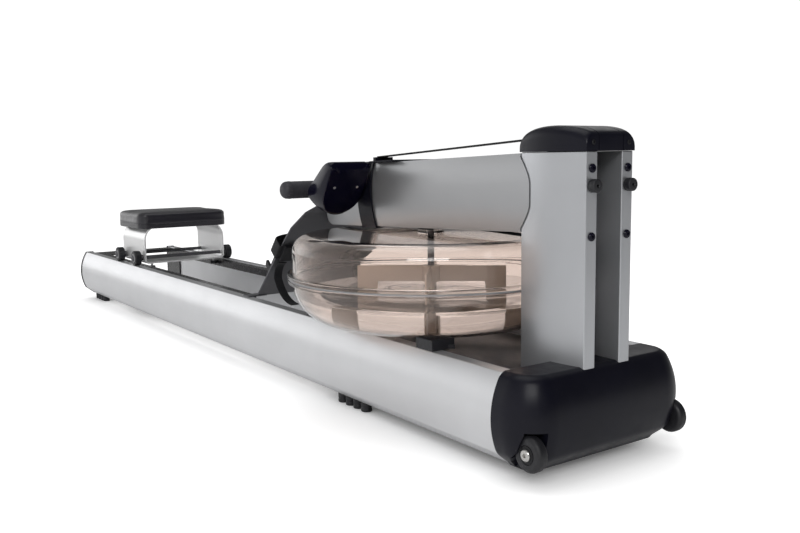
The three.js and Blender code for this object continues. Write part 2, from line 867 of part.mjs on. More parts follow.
// Beams: the group tilts about the foot of the beams' joint with the tower
const beamGroup = new THREE.Group();
beamGroup.position.set(0, at(towerRearStation), beamBottomAtTower);
beamGroup.rotation.x = -beamTilt;
beamGroup.updateMatrixWorld(true);
machine.add(beamGroup);

function intoBeamFrame(geometry) {
  return geometry.applyMatrix4(beamGroup.matrixWorld.clone().invert());
}

function beamSection() {
  return [
    [towerInnerX, 0],
    ...arcThrough([towerFlatX, 0], [towerBulgeX, beamHeight / 2], [towerFlatX, beamHeight], roundSteps),
    [towerInnerX, beamHeight],
  ];
}

function beamSideView() {
  const r = beamCornerRadius;
  return [
    [-towerDepth, -cutOver],
    [beamLength - r, -cutOver],
    ...arc(beamLength - r, r, r, r, -Math.PI / 2, 0, roundSteps / 2),
    ...arc(beamLength - r / 2, beamTongueHeight - r / 2, r / 2, r / 2, 0, Math.PI / 2, roundSteps / 4),
    [beamFullLength, beamTongueHeight],
    [beamFullLength, beamHeight + cutOver],
    [-towerDepth, beamHeight + cutOver],
  ];
}

function addBeams() {
  for (const { side, name } of sides) {
    const section = beamSection();
    const body = prismAlongY(mirrored(section, side), -towerDepth / 2, beamLength + cutOver);
    const bore = prismAlongY(mirrored(offsetOutline(section, -beamWall), side), -towerDepth,
      beamLength + 2 * cutOver);
    const sideCut = prismAlongX(beamSideView(), -towerBulgeX - cutOver, towerBulgeX + cutOver);
    const outline = mirrored(offsetOutline(uprightOutline(), fitGap), side);
    const tower = toSolid(intoBeamFrame(
      extrudeOutline(outline, towerTopZ).translate(0, 0, deckTopZ)));
    const whole = common(without(body, tower), sideCut);
    const pieces = without(whole, bore).decompose();
    const largest = pieces.reduce((best, next) => (next.volume() > best.volume() ? next : best));
    addPiece(`${name}_beam`, largest, silver, beamGroup);
  }
}

// Band round both beams, with the rod that the belt runs over
function addBeamBand() {
  const half = beamSection().slice(1, -1);
  const round = [...half, ...mirrored(half, -1).reverse()];
  const outer = prismAlongY(offsetOutline(round, fitGap + bandThickness), bandStation,
    bandStation + bandWidth);
  const inner = prismAlongY(offsetOutline(round, fitGap), bandStation - cutOver,
    bandStation + bandWidth + cutOver);
  const rodY = bandStation + bandWidth - guideRadius;
  const top = beamHeight + fitGap + bandThickness;
  const rodZ = top + guideRise;
  const rod = rodAlongX(guideRadius, -guideHalf, guideHalf, rodY, rodZ);
  const ears = sides.map(({ side }) => {
    const from = side < 0 ? -guideHalf - bandThickness : guideHalf;
    return boxBetween(from, from + bandThickness, rodY - guideRadius, rodY + guideRadius,
      top - bandThickness / 2, rodZ + guideRadius);
  });
  addPiece('beam_band', joined(without(outer, inner), rod, ...ears), blackPlastic, beamGroup);
}

// Tank: two bowls whose flanges close on a ring
const tankY = at(tankStation);
const ringZ = tankBowlTopZ + tankFlangeThickness + fitGap;
const upperBaseZ = ringZ + tankRingThickness + fitGap;

function bowlCurve(shrink) {
  const floorZ = tankBottomZ + shrink;
  const radius = tankRadius - shrink;
  const floor = Math.min(tankFloorRadius, radius);
  return arc(floor, tankBowlTopZ, radius - floor, tankBowlTopZ - floorZ, -Math.PI / 2, 0, roundSteps / 2);
}

function lidCurve(shrink) {
  const radius = tankRadius - shrink;
  const r = tankShoulder - shrink;
  return arc(radius - r, tankTopZ - tankShoulder, r, r, 0, Math.PI / 2, roundSteps / 3);
}

function addTank() {
  const flangeTop = tankBowlTopZ + tankFlangeThickness;
  const inner = bowlCurve(tankWall);
  const bowl = [
    [0, tankBottomZ],
    ...bowlCurve(0),
    [tankFlangeRadius, tankBowlTopZ],
    [tankFlangeRadius, flangeTop],
    [tankRadius - tankWall, flangeTop],
    ...inner.reverse(),
    [shaftCupRadius, tankBottomZ + tankWall],
    [shaftCupRadius, tankBottomZ + tankWall + shaftCupHeight],
    [boreFor(shaftRadius), tankBottomZ + tankWall + shaftCupHeight],
    [boreFor(shaftRadius), tankBottomZ + tankWall],
    [0, tankBottomZ + tankWall],
  ];
  addPiece('tank_lower_bowl', turnedAlongZ(bowl, 0, tankY, tankSteps), smokyClear);
  const shaftHole = boreFor(shaftRadius);
  const lid = [
    [tankRadius - tankWall, upperBaseZ],
    [tankFlangeRadius, upperBaseZ],
    [tankFlangeRadius, upperBaseZ + tankFlangeThickness],
    [tankRadius, upperBaseZ + tankFlangeThickness],
    ...lidCurve(0),
    [tankBossRadius, tankTopZ],
    [tankBossRadius, tankTopZ + tankBossHeight],
    [shaftHole, tankTopZ + tankBossHeight],
    [shaftHole, tankTopZ - tankWall],
    ...lidCurve(tankWall).reverse(),
    [tankRadius - tankWall, upperBaseZ],
  ];
  addPiece('tank_upper_bowl', turnedAlongZ(lid, 0, tankY, tankSteps), smokyClear);
  const ring = [
    [tankRadius - tankWall + tankRingInset, ringZ],
    [tankFlangeRadius - tankRingInset / 2, ringZ],
    [tankFlangeRadius - tankRingInset / 2, ringZ + tankRingThickness],
    [tankRadius - tankWall + tankRingInset, ringZ + tankRingThickness],
    [tankRadius - tankWall + tankRingInset, ringZ],
  ];
  addPiece('tank_joint_ring', turnedAlongZ(ring, 0, tankY, tankSteps), blackRubber);
}

// Water: it fills the bowl but leaves the round path in which the paddle turns
function addWater() {
  const sweepR = paddleRadius + paddleSweepClearance;
  const sweepZ = paddleArmTopZ - paddleArmHeight - paddleFinDrop - paddleSweepClearance;
  const rim = bowlCurve(tankWall + fitGap).filter(([, z]) => z < waterLevelZ);
  const [lastR, lastZ] = rim[rim.length - 1];
  const next = bowlCurve(tankWall + fitGap)[rim.length];
  const share = (waterLevelZ - lastZ) / (next[1] - lastZ);
  const cupR = shaftCupRadius + fitGap;
  const profile = [
    [cupR, tankBottomZ + tankWall + fitGap],
    ...rim,
    [lastR + (next[0] - lastR) * share, waterLevelZ],
    [sweepR, waterLevelZ],
    [sweepR, sweepZ],
    [cupR, sweepZ],
    [cupR, tankBottomZ + tankWall + fitGap],
  ];
  addPiece('water', turnedAlongZ(profile, 0, tankY, tankSteps), waterTint);
}

// Paddle: shaft, hub and crossed arms with a fin under each
function addPaddle() {
  const bottom = tankBottomZ + tankWall + fitGap;
  const top = spoolBaseZ + spoolHeight + fitGap;
  const armBottom = paddleArmTopZ - paddleArmHeight;
  const parts = [
    rodAlongZ(shaftRadius, 0, tankY, bottom, top),
    rodAlongZ(paddleHubRadius, 0, tankY, armBottom, paddleArmTopZ),
  ];
  for (let i = 0; i < paddleArmCount; i += 1) {
    const arm = new THREE.BoxGeometry(paddleRadius, paddleSheet, paddleArmHeight)
      .translate(paddleRadius / 2, 0, paddleArmTopZ - paddleArmHeight / 2);
    const finWidth = paddleRadius - paddleFinInnerRadius;
    const fin = new THREE.BoxGeometry(finWidth, paddleSheet, paddleFinDrop + paddleSheet)
      .translate(paddleRadius - finWidth / 2, 0, armBottom - paddleFinDrop / 2 + paddleSheet / 2);
    const turn = THREE.MathUtils.degToRad(paddleTurnDegrees) + i * 2 * Math.PI / paddleArmCount;
    for (const geometry of [arm, fin]) {
      parts.push(toSolid(geometry.rotateZ(turn).translate(0, tankY, 0)));
    }
  }
  addPiece('paddle', joined(...parts), greyMetal);
}

// Mat: crossed strips under the tank, with a block on the rail at each end cut to the bowl
function addTankMat() {
  const bottom = railTopZ + fitGap;
  const top = tankBottomZ - fitGap;
  const blockTop = bottom + matBlockHeight;
  const blockX = railTopX - matBlockWidth / 2;
  const blockY = (matBlockNear + matBlockFar) / 2;
  const turn = Math.atan2(blockY, blockX);
  const reach = Math.hypot(blockX, blockY);
  const parts = [turn, -turn].map((angle) => toSolid(
    new THREE.BoxGeometry(2 * reach, matArmWidth, top - bottom)
      .translate(0, 0, (bottom + top) / 2).rotateZ(angle).translate(0, tankY, 0)));
  for (const { side } of sides) {
    for (const way of [-1, 1]) {
      const block = new THREE.BoxGeometry(matBlockWidth, matBlockFar - matBlockNear, blockTop - bottom);
      parts.push(toSolid(block.translate(side * blockX, tankY + way * blockY, (bottom + blockTop) / 2)));
    }
  }
  const bowl = turnedAlongZ([
    [0, tankBottomZ - fitGap],
    ...bowlCurve(-fitGap),
    [tankRadius + fitGap, tankTopZ],
    [0, tankTopZ],
  ], 0, tankY, tankSteps);
  addPiece('tank_mat', without(joined(...parts), bowl), blackRubber);
}

// Belt drive
function addBeltDrive() {
  const pulley = [
    [boreFor(pulleyAxleRadius), -pulleyWidth / 2],
    [pulleyRadius + pulleyRim - beltThickness, -pulleyWidth / 2],
    [pulleyRadius, pulleyRim / 2 - pulleyWidth / 2],
    [pulleyRadius, pulleyWidth / 2 - pulleyRim / 2],
    [pulleyRadius + pulleyRim - beltThickness, pulleyWidth / 2],
    [boreFor(pulleyAxleRadius), pulleyWidth / 2],
    [boreFor(pulleyAxleRadius), -pulleyWidth / 2],
  ];
  addPiece('top_pulley', turnedAlongX(pulley, at(pulleyStation), pulleyZ, wheelSteps), blackPlastic);
  addPiece('top_pulley_axle', rodAlongX(pulleyAxleRadius, -pulleyAxleHalf, pulleyAxleHalf,
    at(pulleyStation), pulleyZ), brightSteel);
  const bore = boreFor(shaftRadius);
  const spoolTop = spoolBaseZ + spoolHeight;
  const grooveTop = spoolBaseZ + spoolFlange + cordGrooveHeight;
  const spool = [
    [bore, spoolBaseZ],
    [spoolFlangeRadius, spoolBaseZ],
    [spoolFlangeRadius, spoolBaseZ + spoolFlange],
    [spoolRadius - spoolFlange, spoolBaseZ + spoolFlange],
    [spoolRadius - spoolFlange, grooveTop],
    [spoolFlangeRadius, grooveTop],
    [spoolFlangeRadius, grooveTop + spoolFlange],
    [spoolRadius, grooveTop + spoolFlange],
    [spoolRadius, spoolTop - spoolFlange],
    [spoolFlangeRadius, spoolTop - spoolFlange],
    [spoolFlangeRadius, spoolTop],
    [bore, spoolTop],
    [bore, spoolBaseZ],
  ];
  addPiece('clutch_spool', turnedAlongZ(spool, 0, tankY), blackPlastic);
}

// Recoil: a pulley on trunnions between the uprights, and the cord from the spool down to the deck
function addRecoil() {
  const half = recoilWidth / 2;
  const pinEnd = towerInnerX + towerWall;
  const pulley = [
    [0, -pinEnd],
    [pulleyAxleRadius, -pinEnd],
    [pulleyAxleRadius, -half],
    [recoilRadius + recoilRim, -half],
    [recoilRadius, -cordRadius],
    [recoilRadius, cordRadius],
    [recoilRadius + recoilRim, half],
    [pulleyAxleRadius, half],
    [pulleyAxleRadius, pinEnd],
    [0, pinEnd],
  ];
  addPiece('recoil_pulley', turnedAlongX(pulley, at(recoilStation), recoilZ, wheelSteps), blackPlastic);
  const reach = recoilRadius + fitGap + cordRadius;
  const spoolReach = spoolRadius - spoolFlange + fitGap + cordRadius;
  const cordZ = spoolBaseZ + spoolFlange + cordGrooveHeight / 2;
  const y = at(recoilStation);
  const leave = tangentAngle([y, recoilZ], reach, [tankY, cordZ], 0);
  const down = [
    [y - reach, deckTopZ + cordAnchorHeight + fitGap],
    ...arc(y, recoilZ, reach, reach, Math.PI, leave, roundSteps),
  ].map(([py, pz]) => inMiddle(py, pz));
  const wound = ontoSpool(down[down.length - 1], spoolReach, cordZ, 1);
  const round = arc(0, 0, cordRadius, cordRadius, 0, 2 * Math.PI, roundSteps * 2 / 3).slice(0, -1);
  const points = [...down, ...wound];
  const acrossX = new THREE.Vector3(1, 0, 0);
  const up = new THREE.Vector3(0, 0, 1);
  const ways = points.map((_, i) => (i < down.length ? acrossX : up));
  addPiece('recoil_cord', swept(points, ways, round), blackRubber);
}

const inMiddle = (y, z) => new THREE.Vector3(0, y, z);

// Where a line from a point meets the spool on one side, and its wrap round the spool's far side
function ontoSpool(from, radius, z, side) {
  const away = tankY - from.y;
  const meet = -Math.PI / 2 + side * Math.acos(radius / away);
  return arc(0, tankY, radius, radius, meet, meet + side * spoolWrap, roundSteps * 3 / 2)
    .map(([x, y]) => new THREE.Vector3(x, y, z));
}

// A section carried along points, its first axis kept near the given way at each point
function swept(points, ways, section) {
  const count = section.length;
  const positions = points.flatMap((point, i) => {
    const before = points[Math.max(i - 1, 0)];
    const after = points[Math.min(i + 1, points.length - 1)];
    const along = after.clone().sub(before).normalize();
    const v = along.clone().cross(ways[i]).normalize();
    const u = v.clone().cross(along);
    return section.flatMap(([a, b]) => point.clone().addScaledVector(u, a).addScaledVector(v, b).toArray());
  });
  const index = [];
  for (let i = 0; i + 1 < points.length; i += 1) {
    for (let j = 0; j < count; j += 1) {
      const a = i * count + j;
      const b = i * count + (j + 1) % count;
      index.push(a, b, b + count, a, b + count, a + count);
    }
  }
  const last = (points.length - 1) * count;
  for (let j = 1; j + 1 < count; j += 1) {
    index.push(0, j + 1, j, last, last + j, last + j + 1);
  }
  const geometry = new THREE.BufferGeometry();
  geometry.setAttribute('position', new THREE.BufferAttribute(new Float32Array(positions), 3));
  geometry.setIndex(index);
  return toSolid(geometry);
}

// The angle at which a line over the first circle, and over the second, leaves the first
function tangentAngle([ay, az], ar, [by, bz], br) {
  const gap = Math.hypot(by - ay, bz - az);
  return Math.atan2(bz - az, by - ay) + Math.acos((ar - br) / gap);
}

function beamPoint(y, z) {
  const point = new THREE.Vector3(0, y, z).applyMatrix4(beamGroup.matrixWorld);
  return [point.y, point.z];
}

// The belt runs from the handle over the guide rod and round the top pulley, and turns on edge
// on its way back to the spool
function addBelt() {
  const reach = fitGap + beltThickness / 2;
  const rod = beamPoint(bandStation + bandWidth - guideRadius,
    beamHeight + fitGap + bandThickness + guideRise);
  const rodR = guideRadius + reach;
  const pulley = [at(pulleyStation), pulleyZ];
  const pulleyR = pulleyRadius + reach;
  const grooveTop = spoolBaseZ + spoolFlange + cordGrooveHeight;
  const spoolZ = (grooveTop + spoolBaseZ + spoolHeight) / 2;
  const hook = beamPoint(handleAlong, handleAxisRise + handleHookRadius + reach);
  const toSpool = new THREE.Vector2(tankY - pulley[0], spoolZ - pulley[1]);
  const leave = toSpool.angle() - Math.acos(pulleyR / toSpool.length());
  const meet = tangentAngle(pulley, pulleyR, rod, rodR);
  const flat = [
    hook,
    ...arc(...rod, rodR, rodR, tangentAngle(rod, rodR, hook, 0), meet, roundSteps / 4),
    ...arc(...pulley, pulleyR, pulleyR, meet, leave, 2 * roundSteps),
  ].map(([y, z]) => inMiddle(y, z));
  const wound = ontoSpool(flat[flat.length - 1], spoolRadius + reach, spoolZ, -1);
  const from = flat[flat.length - 1];
  const run = [];
  const turns = [];
  for (let i = 1; i < roundSteps; i += 1) {
    run.push(from.clone().lerp(wound[0], i / roundSteps));
    turns.push(Math.PI / 2 * i / roundSteps);
  }
  const edgeways = [...flat.map(() => 0), ...turns, ...wound.map(() => Math.PI / 2)];
  const ways = edgeways.map((turn) => new THREE.Vector3(Math.cos(turn), 0, -Math.sin(turn)));
  const half = beltWidth / 2;
  const thick = beltThickness / 2;
  const section = [[-half, -thick], [half, -thick], [half, thick], [-half, thick]];
  addPiece('drive_belt', swept([...flat, ...run, ...wound], ways, section), webbing);
}

// Handle: a bar with rounded ends and a hook ring in its middle
function addHandle() {
  const end = handleLength / 2;
  const inset = handleRadius - handleEndRound;
  const profile = [
    [0, -end],
    ...arc(inset, handleEndRound - end, handleEndRound, handleEndRound, -Math.PI / 2, 0, roundSteps / 3),
    [handleRadius, -handleHookHalf],
    [handleHookRadius, -handleHookHalf],
    [handleHookRadius, handleHookHalf],
    [handleRadius, handleHookHalf],
    ...arc(inset, end - handleEndRound, handleEndRound, handleEndRound, 0, Math.PI / 2, roundSteps / 3),
    [0, end],
  ];
  addPiece('handle', turnedAlongX(profile, handleAlong, handleAxisRise, wheelSteps), blackRubber, beamGroup);
}

// Monitor: a tapered housing on a pivot, with its display on the slope that faces the seat
const displayGroup = new THREE.Group();
const monitorCentreX = -monitorSideX - monitorWidth / 2;
displayGroup.position.set(monitorCentreX, monitorStation + monitorTopDepth, monitorTopZ);
displayGroup.rotation.x = -displaySlope;
displayGroup.updateMatrix();
beamGroup.add(displayGroup);

function monitorSideView() {
  const back = monitorStation;
  const edge = back + monitorTopDepth;
  const run = monitorSlopeLength * Math.cos(displaySlope) - monitorNoseRound * Math.sin(displaySlope);
  const drop = monitorSlopeLength * Math.sin(displaySlope) + monitorNoseRound * Math.cos(displaySlope);
  return [
    [back, monitorTopZ - monitorBevel],
    [back + monitorBevelDepth, monitorTopZ],
    [edge, monitorTopZ],
    ...arc(edge + run, monitorTopZ - drop, monitorNoseRound, monitorNoseRound,
      Math.PI / 2 - displaySlope, -Math.PI / 4, roundSteps / 2),
    [back + monitorChinDepth, monitorTopZ - monitorHeight],
    [back + monitorLean, monitorTopZ - monitorHeight + monitorHeelRise],
  ];
}

function addMonitor() {
  const half = monitorWidth / 2;
  const c = monitorCorner;
  const bottom = monitorTopZ - monitorHeight;
  const frontView = [
    ...arc(monitorCentreX + half - c, monitorTopZ - c, c, c, 0, Math.PI / 2, roundSteps / 3),
    ...arc(monitorCentreX - half + c, monitorTopZ - c, c, c, Math.PI / 2, Math.PI, roundSteps / 3),
    ...arc(monitorCentreX, bottom + monitorChinRound, monitorChinHalf, monitorChinRound, Math.PI,
      2 * Math.PI, roundSteps),
  ];
  const reach = monitorStation + monitorTopDepth + monitorSlopeLength + cutOver;
  const body = common(prismAlongX(monitorSideView(), -monitorSideX - monitorWidth, -monitorSideX),
    prismAlongY(frontView, monitorStation - cutOver, reach));
  const pivotY = monitorStation + pivotSetback;
  const pivotZ = monitorTopZ - pivotDrop;
  const bore = rodAlongX(boreFor(pivotRadius), -monitorSideX - pivotLength - fitGap,
    cutOver - monitorSideX, pivotY, pivotZ);
  const pocket = new THREE.BoxGeometry(screenWidth + 2 * fitGap, screenHeight + 2 * fitGap,
    screenThickness + cutOver)
    .translate(0, screenMargin + screenHeight / 2, (cutOver - screenThickness) / 2);
  const buttonY = screenMargin + screenHeight + buttonDrop;
  const buttonXs = Array.from({ length: buttonCount }, (_, i) => (i - (buttonCount - 1) / 2) * buttonPitch);
  const sink = buttonHeight - buttonProud + buttonTravel + fitGap;
  const holes = buttonXs.map((x) => new THREE.CylinderGeometry(boreFor(buttonRadius),
    boreFor(buttonRadius), sink + cutOver, roundSteps).rotateX(Math.PI / 2)
    .translate(x, buttonY, (cutOver - sink) / 2));
  const cuts = [pocket, ...holes].map((geometry) => toSolid(geometry.applyMatrix4(displayGroup.matrix)));
  addPiece('monitor_housing', without(body, bore, ...cuts), blackPlastic, beamGroup);
  addPiece('monitor_screen', boxBetween(-screenWidth / 2, screenWidth / 2, screenMargin,
    screenMargin + screenHeight, fitGap - screenThickness, fitGap), displayGrey, displayGroup);
  buttonXs.forEach((x, i) => {
    addPiece(`monitor_button_${i + 1}`, rodAlongZ(buttonRadius, x, buttonY,
      buttonProud - buttonHeight, buttonProud, roundSteps), greyMetal, displayGroup);
  });
  const plateTop = beamHeight + fitGap + armThickness;
  const armX = fitGap - monitorSideX;
  const armRear = bandStation - armRearGap;
  const plate = boxBetween(armX, armFarX, armFrontStation, armRear, beamHeight + fitGap, plateTop);
  const flange = prismAlongX([
    [monitorStation + fitGap, plateTop],
    ...arc(pivotY, pivotZ, armEyeRadius, armEyeRadius, -Math.PI * 3 / 4, 0, roundSteps / 2),
    [pivotY + armEyeRadius, plateTop - armFlangeDepth],
    [armRear, plateTop],
  ], armX, armX + armThickness);
  const stub = rodAlongX(pivotRadius, armX - pivotLength, armX + armThickness / 2, pivotY, pivotZ);
  addPiece('monitor_arm', joined(plate, flange, stub), blackPlastic, beamGroup);
}

// Footboard: its group lies on the slope, with Y down the slope and Z toward the rower
const boardSlope = Math.atan2(boardBendZ - boardBottomZ, boardBottomStation - boardBendStation);
const boardLength = Math.hypot(boardBendZ - boardBottomZ, boardBottomStation - boardBendStation);
const boardGroup = new THREE.Group();
boardGroup.position.set(0, at(boardBendStation), boardBendZ);
boardGroup.rotation.x = -boardSlope;
boardGroup.updateMatrixWorld(true);
machine.add(boardGroup);

function ontoSlope(geometry) {
  return toSolid(geometry.applyMatrix4(boardGroup.matrixWorld.clone().invert()));
}

function boardHalfAt(y) {
  const share = y / boardLength;
  const next = Math.max(1, boardWidthShares.findIndex(([place]) => place >= share));
  const [fromPlace, fromWidth] = boardWidthShares[next - 1];
  const [toPlace, toWidth] = boardWidthShares[next];
  return boardBottomHalf * THREE.MathUtils.mapLinear(share, fromPlace, toPlace, fromWidth, toWidth);
}

const restEnd = boardLength - restFromBottom;
const slideBlockY = restEnd - slideBlockFromHeel;

function addFootboard() {
  const rise = boardTopZ - boardBendZ;
  const run = boardTopStation - boardBendStation;
  const lip = [
    run * Math.cos(boardSlope) - rise * Math.sin(boardSlope),
    run * Math.sin(boardSlope) + rise * Math.cos(boardSlope),
  ];
  const sheet = prismAlongX(bandOutline([lip, [0, 0], [boardLength, 0]], boardThickness),
    -boardBottomHalf, boardBottomHalf);
  const edge = boardWidthShares.map(([place, width]) => [boardBottomHalf * width, boardLength * place]);
  const [lastX, lastY] = edge[edge.length - 1];
  const half = [
    [boardBottomHalf * boardTopHalfShare, lip[0] - cutOver],
    ...edge.slice(0, -1),
    [lastX, lastY + cutOver],
  ];
  const plan = prismAlongZ([...half, ...mirrored(half, -1).reverse()], -boardLength / 2, boardLength / 2);
  const slots = sides.map(({ side }) => {
    const reach = slideBlockWidth / 2 + fitGap;
    return boxBetween(restCentreX * side - reach, restCentreX * side + reach,
      slideBlockY - slideBlockLength / 2 - restTravelUp - fitGap,
      slideBlockY + slideBlockLength / 2 + restTravelDown + fitGap, -boardThickness, boardThickness);
  });
  const tabs = sides.map(({ side }) => {
    const width = boardTabOuterX - boardTabInnerX;
    const tab = new THREE.BoxGeometry(width, boardTabLength + boardTabOverlap, boardThickness);
    return ontoSlope(tab.translate(side * (boardTabInnerX + width / 2),
      at(boardBottomStation) + (boardTabLength - boardTabOverlap) / 2, boardBottomZ));
  });
  const cheekOutline = [
    [at(boardTopStation), boardTopZ],
    [at(boardBendStation), boardBendZ],
    [at(boardBendStation + boardCheekRun), boardBendZ - boardCheekRun * Math.tan(boardSlope)],
    [at(boardCheekFront), boardTopZ - boardThickness - boardCheekDepth],
    [at(boardCheekFront), boardTopZ - boardThickness],
  ];
  const cheeks = sides.map(({ side }) => {
    const outer = towerInnerX - boardCheekGap;
    const from = side < 0 ? -outer : outer - boardThickness;
    const basis = new THREE.Matrix4().makeBasis(
      new THREE.Vector3(0, 1, 0), new THREE.Vector3(0, 0, 1), new THREE.Vector3(1, 0, 0));
    return ontoSlope(extrudeOutline(cheekOutline, boardThickness).applyMatrix4(basis).translate(from, 0, 0));
  });
  addPiece('footboard', joined(without(common(sheet, plan), ...slots), ...tabs, ...cheeks), silver,
    boardGroup);
}

function addFootrests() {
  const bottom = boardThickness / 2 + restGap;
  const top = bottom + restThickness;
  const half = restWidth / 2;
  const heelY = restEnd - half;
  for (const { side, name } of sides) {
    const x = restCentreX * side;
    const plate = prismAlongZ([
      ...arc(x, heelY, half, half, 0, Math.PI, roundSteps),
      ...arc(x - half + restToeRound, restEnd - restLength + restToeRound, restToeRound, restToeRound,
        Math.PI, 1.5 * Math.PI, roundSteps / 3),
      ...arc(x + half - restToeRound, restEnd - restLength + restToeRound, restToeRound, restToeRound,
        1.5 * Math.PI, 2 * Math.PI, roundSteps / 3),
    ], bottom, top);
    const inner = half - heelThickness;
    const heel = prismAlongZ([
      ...arc(x, heelY, half, half, 0, Math.PI, roundSteps),
      ...arc(x, heelY, inner, inner, Math.PI, 0, roundSteps),
    ], top - restThickness / 2, top + heelHeight);
    const walls = [-half, inner].map((from) => boxBetween(x + from, x + from + heelThickness,
      restEnd - half - restWallLength, heelY + heelThickness / 2, top - restThickness / 2,
      top + restWallHeight));
    const block = boxBetween(x - slideBlockWidth / 2, x + slideBlockWidth / 2,
      slideBlockY - slideBlockLength / 2, slideBlockY + slideBlockLength / 2,
      -boardThickness / 2 - restGap - slideHeadThickness, bottom + restThickness / 2);
    const head = boxBetween(x - slideHeadWidth / 2, x + slideHeadWidth / 2,
      slideBlockY - slideBlockLength / 2, slideBlockY + slideBlockLength / 2,
      -boardThickness / 2 - restGap - slideHeadThickness, -boardThickness / 2 - restGap);
    addPiece(`${name}_footrest`, joined(plate, heel, ...walls, block, head), blackPlastic, boardGroup);
  }
}

// Straps: from the footrest's inner edge over the foot, round the board's edge to a buckle behind it
function addStraps() {
  const rest = boardThickness / 2 + restGap + restThickness;
  const centreY = restEnd - strapFromHeel - strapWidth / 2;
  const outer = boardHalfAt(centreY + strapWidth / 2 + restTravelDown) + strapClearance
    + strapThickness / 2;
  const inner = restCentreX - restWidth / 2 + strapInset;
  const middle = (inner + outer) / 2;
  const under = -boardThickness / 2 - strapClearance - strapThickness / 2;
  const line = [
    [inner, rest + fitGap],
    ...arc(middle, rest + strapHeight / 2, (outer - inner) / 2, strapHeight / 2, Math.PI, 0, roundSteps),
    [outer, under],
    [outer - strapTail, under],
  ];
  for (const { side, name } of sides) {
    const band = prismAlongY(mirrored(bandOutline(line, strapThickness), side),
      centreY - strapWidth / 2, centreY + strapWidth / 2);
    const far = outer - strapTail;
    const from = side < 0 ? -far - buckleWidth : far;
    const buckle = boxBetween(from, from + buckleWidth, centreY - buckleLength / 2,
      centreY + buckleLength / 2, under - buckleThickness, under);
    addPiece(`${name}_foot_strap`, joined(band, buckle), webbing, boardGroup);
  }
}

// Seat pad: rings of a squarish plan, drawn in at mid height and crowned on top
function padPlan(inset) {
  const points = [];
  for (let i = 0; i < padSteps; i += 1) {
    const angle = 2 * Math.PI * i / padSteps;
    const c = Math.cos(angle);
    const s = Math.sin(angle);
    const power = 2 / padSquareness;
    points.push([
      (padWidth / 2 - inset) * Math.sign(c) * Math.abs(c) ** power,
      (padDepth / 2 - inset) * Math.sign(s) * Math.abs(s) ** power,
    ]);
  }
  return points;
}

function addSeatPad() {
  const bottom = seatFrameTopZ + fitGap;
  const edgeZ = bottom + padHeight - padCrown - padEdgeRound;
  const rings = [
    { inset: padFootRound, z: bottom },
    { inset: 0, z: bottom + padFootRound },
    ...padSideShares.map(([rise, draw]) => ({ inset: padDrawIn * draw, z: bottom + padHeight * rise })),
    ...arc(padEdgeRound, edgeZ, padEdgeRound, padEdgeRound, Math.PI, Math.PI / 2, roundSteps / 3)
      .map(([inset, z]) => ({ inset, z })),
  ].map(({ inset, z }) => padPlan(inset).map(([x, y]) => [x, y, z]));
  const rim = padPlan(padEdgeRound);
  for (const share of padCrownShares) {
    rings.push(rim.map(([x, y]) => [x * share, y * share,
      edgeZ + padEdgeRound + padCrown * (1 - share * share)]));
  }
  const pad = lofted(rings, [0, 0, bottom], [0, 0, bottom + padHeight]);
  addPiece('seat_pad', toSolid(pad.translate(0, at(seatStation), 0)), padFoam);
}

// Seat frame: one bent sheet, open on top between its two flanges
function seatFrameLine() {
  const half = seatFrameHalf - seatFrameSheet / 2;
  const bottom = seatFrameBottomZ + seatFrameSheet / 2;
  const top = seatFrameTopZ - seatFrameSheet / 2;
  const corner = seatFrameCorner;
  const bend = seatFrameBend;
  const right = [
    ...arc(half - corner, bottom + corner, corner, corner, -Math.PI / 2, 0, roundSteps / 3),
    ...arc(half - bend, top - bend, bend, bend, 0, Math.PI / 2, roundSteps / 2),
    [seatFlangeInnerX, top],
  ];
  return [...mirrored(right, -1).reverse(), ...right];
}

const guideRollerX = railInnerX - fitGap - trackWidth - fitGap - guideRollerRadius;

function addSeatFrame() {
  const front = at(seatStation - seatFrameDepth / 2);
  const rear = at(seatStation + seatFrameDepth / 2);
  const sheet = prismAlongY(bandOutline(seatFrameLine(), seatFrameSheet), front, rear);
  const holes = [-1, 1].map((way) => rodAlongX(boreFor(seatAxleRadius), -seatFrameHalf - cutOver,
    seatFrameHalf + cutOver, at(seatStation + way * seatWheelBase / 2), seatAxleZ));
  const pins = [];
  for (const { side, name } of sides) {
    const x = guideRollerX * side;
    const y = at(seatStation - guideRollerOffset);
    const headTop = guideRollerZ - fitGap;
    pins.push(rodAlongZ(guidePinRadius, x, y, headTop - guidePinHead / 2,
      seatFrameBottomZ + seatFrameSheet / 2, roundSteps));
    pins.push(rodAlongZ(guidePinHeadRadius, x, y, headTop - guidePinHead, headTop, roundSteps));
    const roller = [
      [boreFor(guidePinRadius), guideRollerZ],
      [guideRollerRadius, guideRollerZ],
      [guideRollerRadius, guideRollerZ + guideRollerHeight],
      [boreFor(guidePinRadius), guideRollerZ + guideRollerHeight],
      [boreFor(guidePinRadius), guideRollerZ],
    ];
    addPiece(`${name}_guide_roller`, turnedAlongZ(roller, x, y), blackPlastic);
  }
  addPiece('seat_frame', joined(without(sheet, ...holes), ...pins), silver);
}

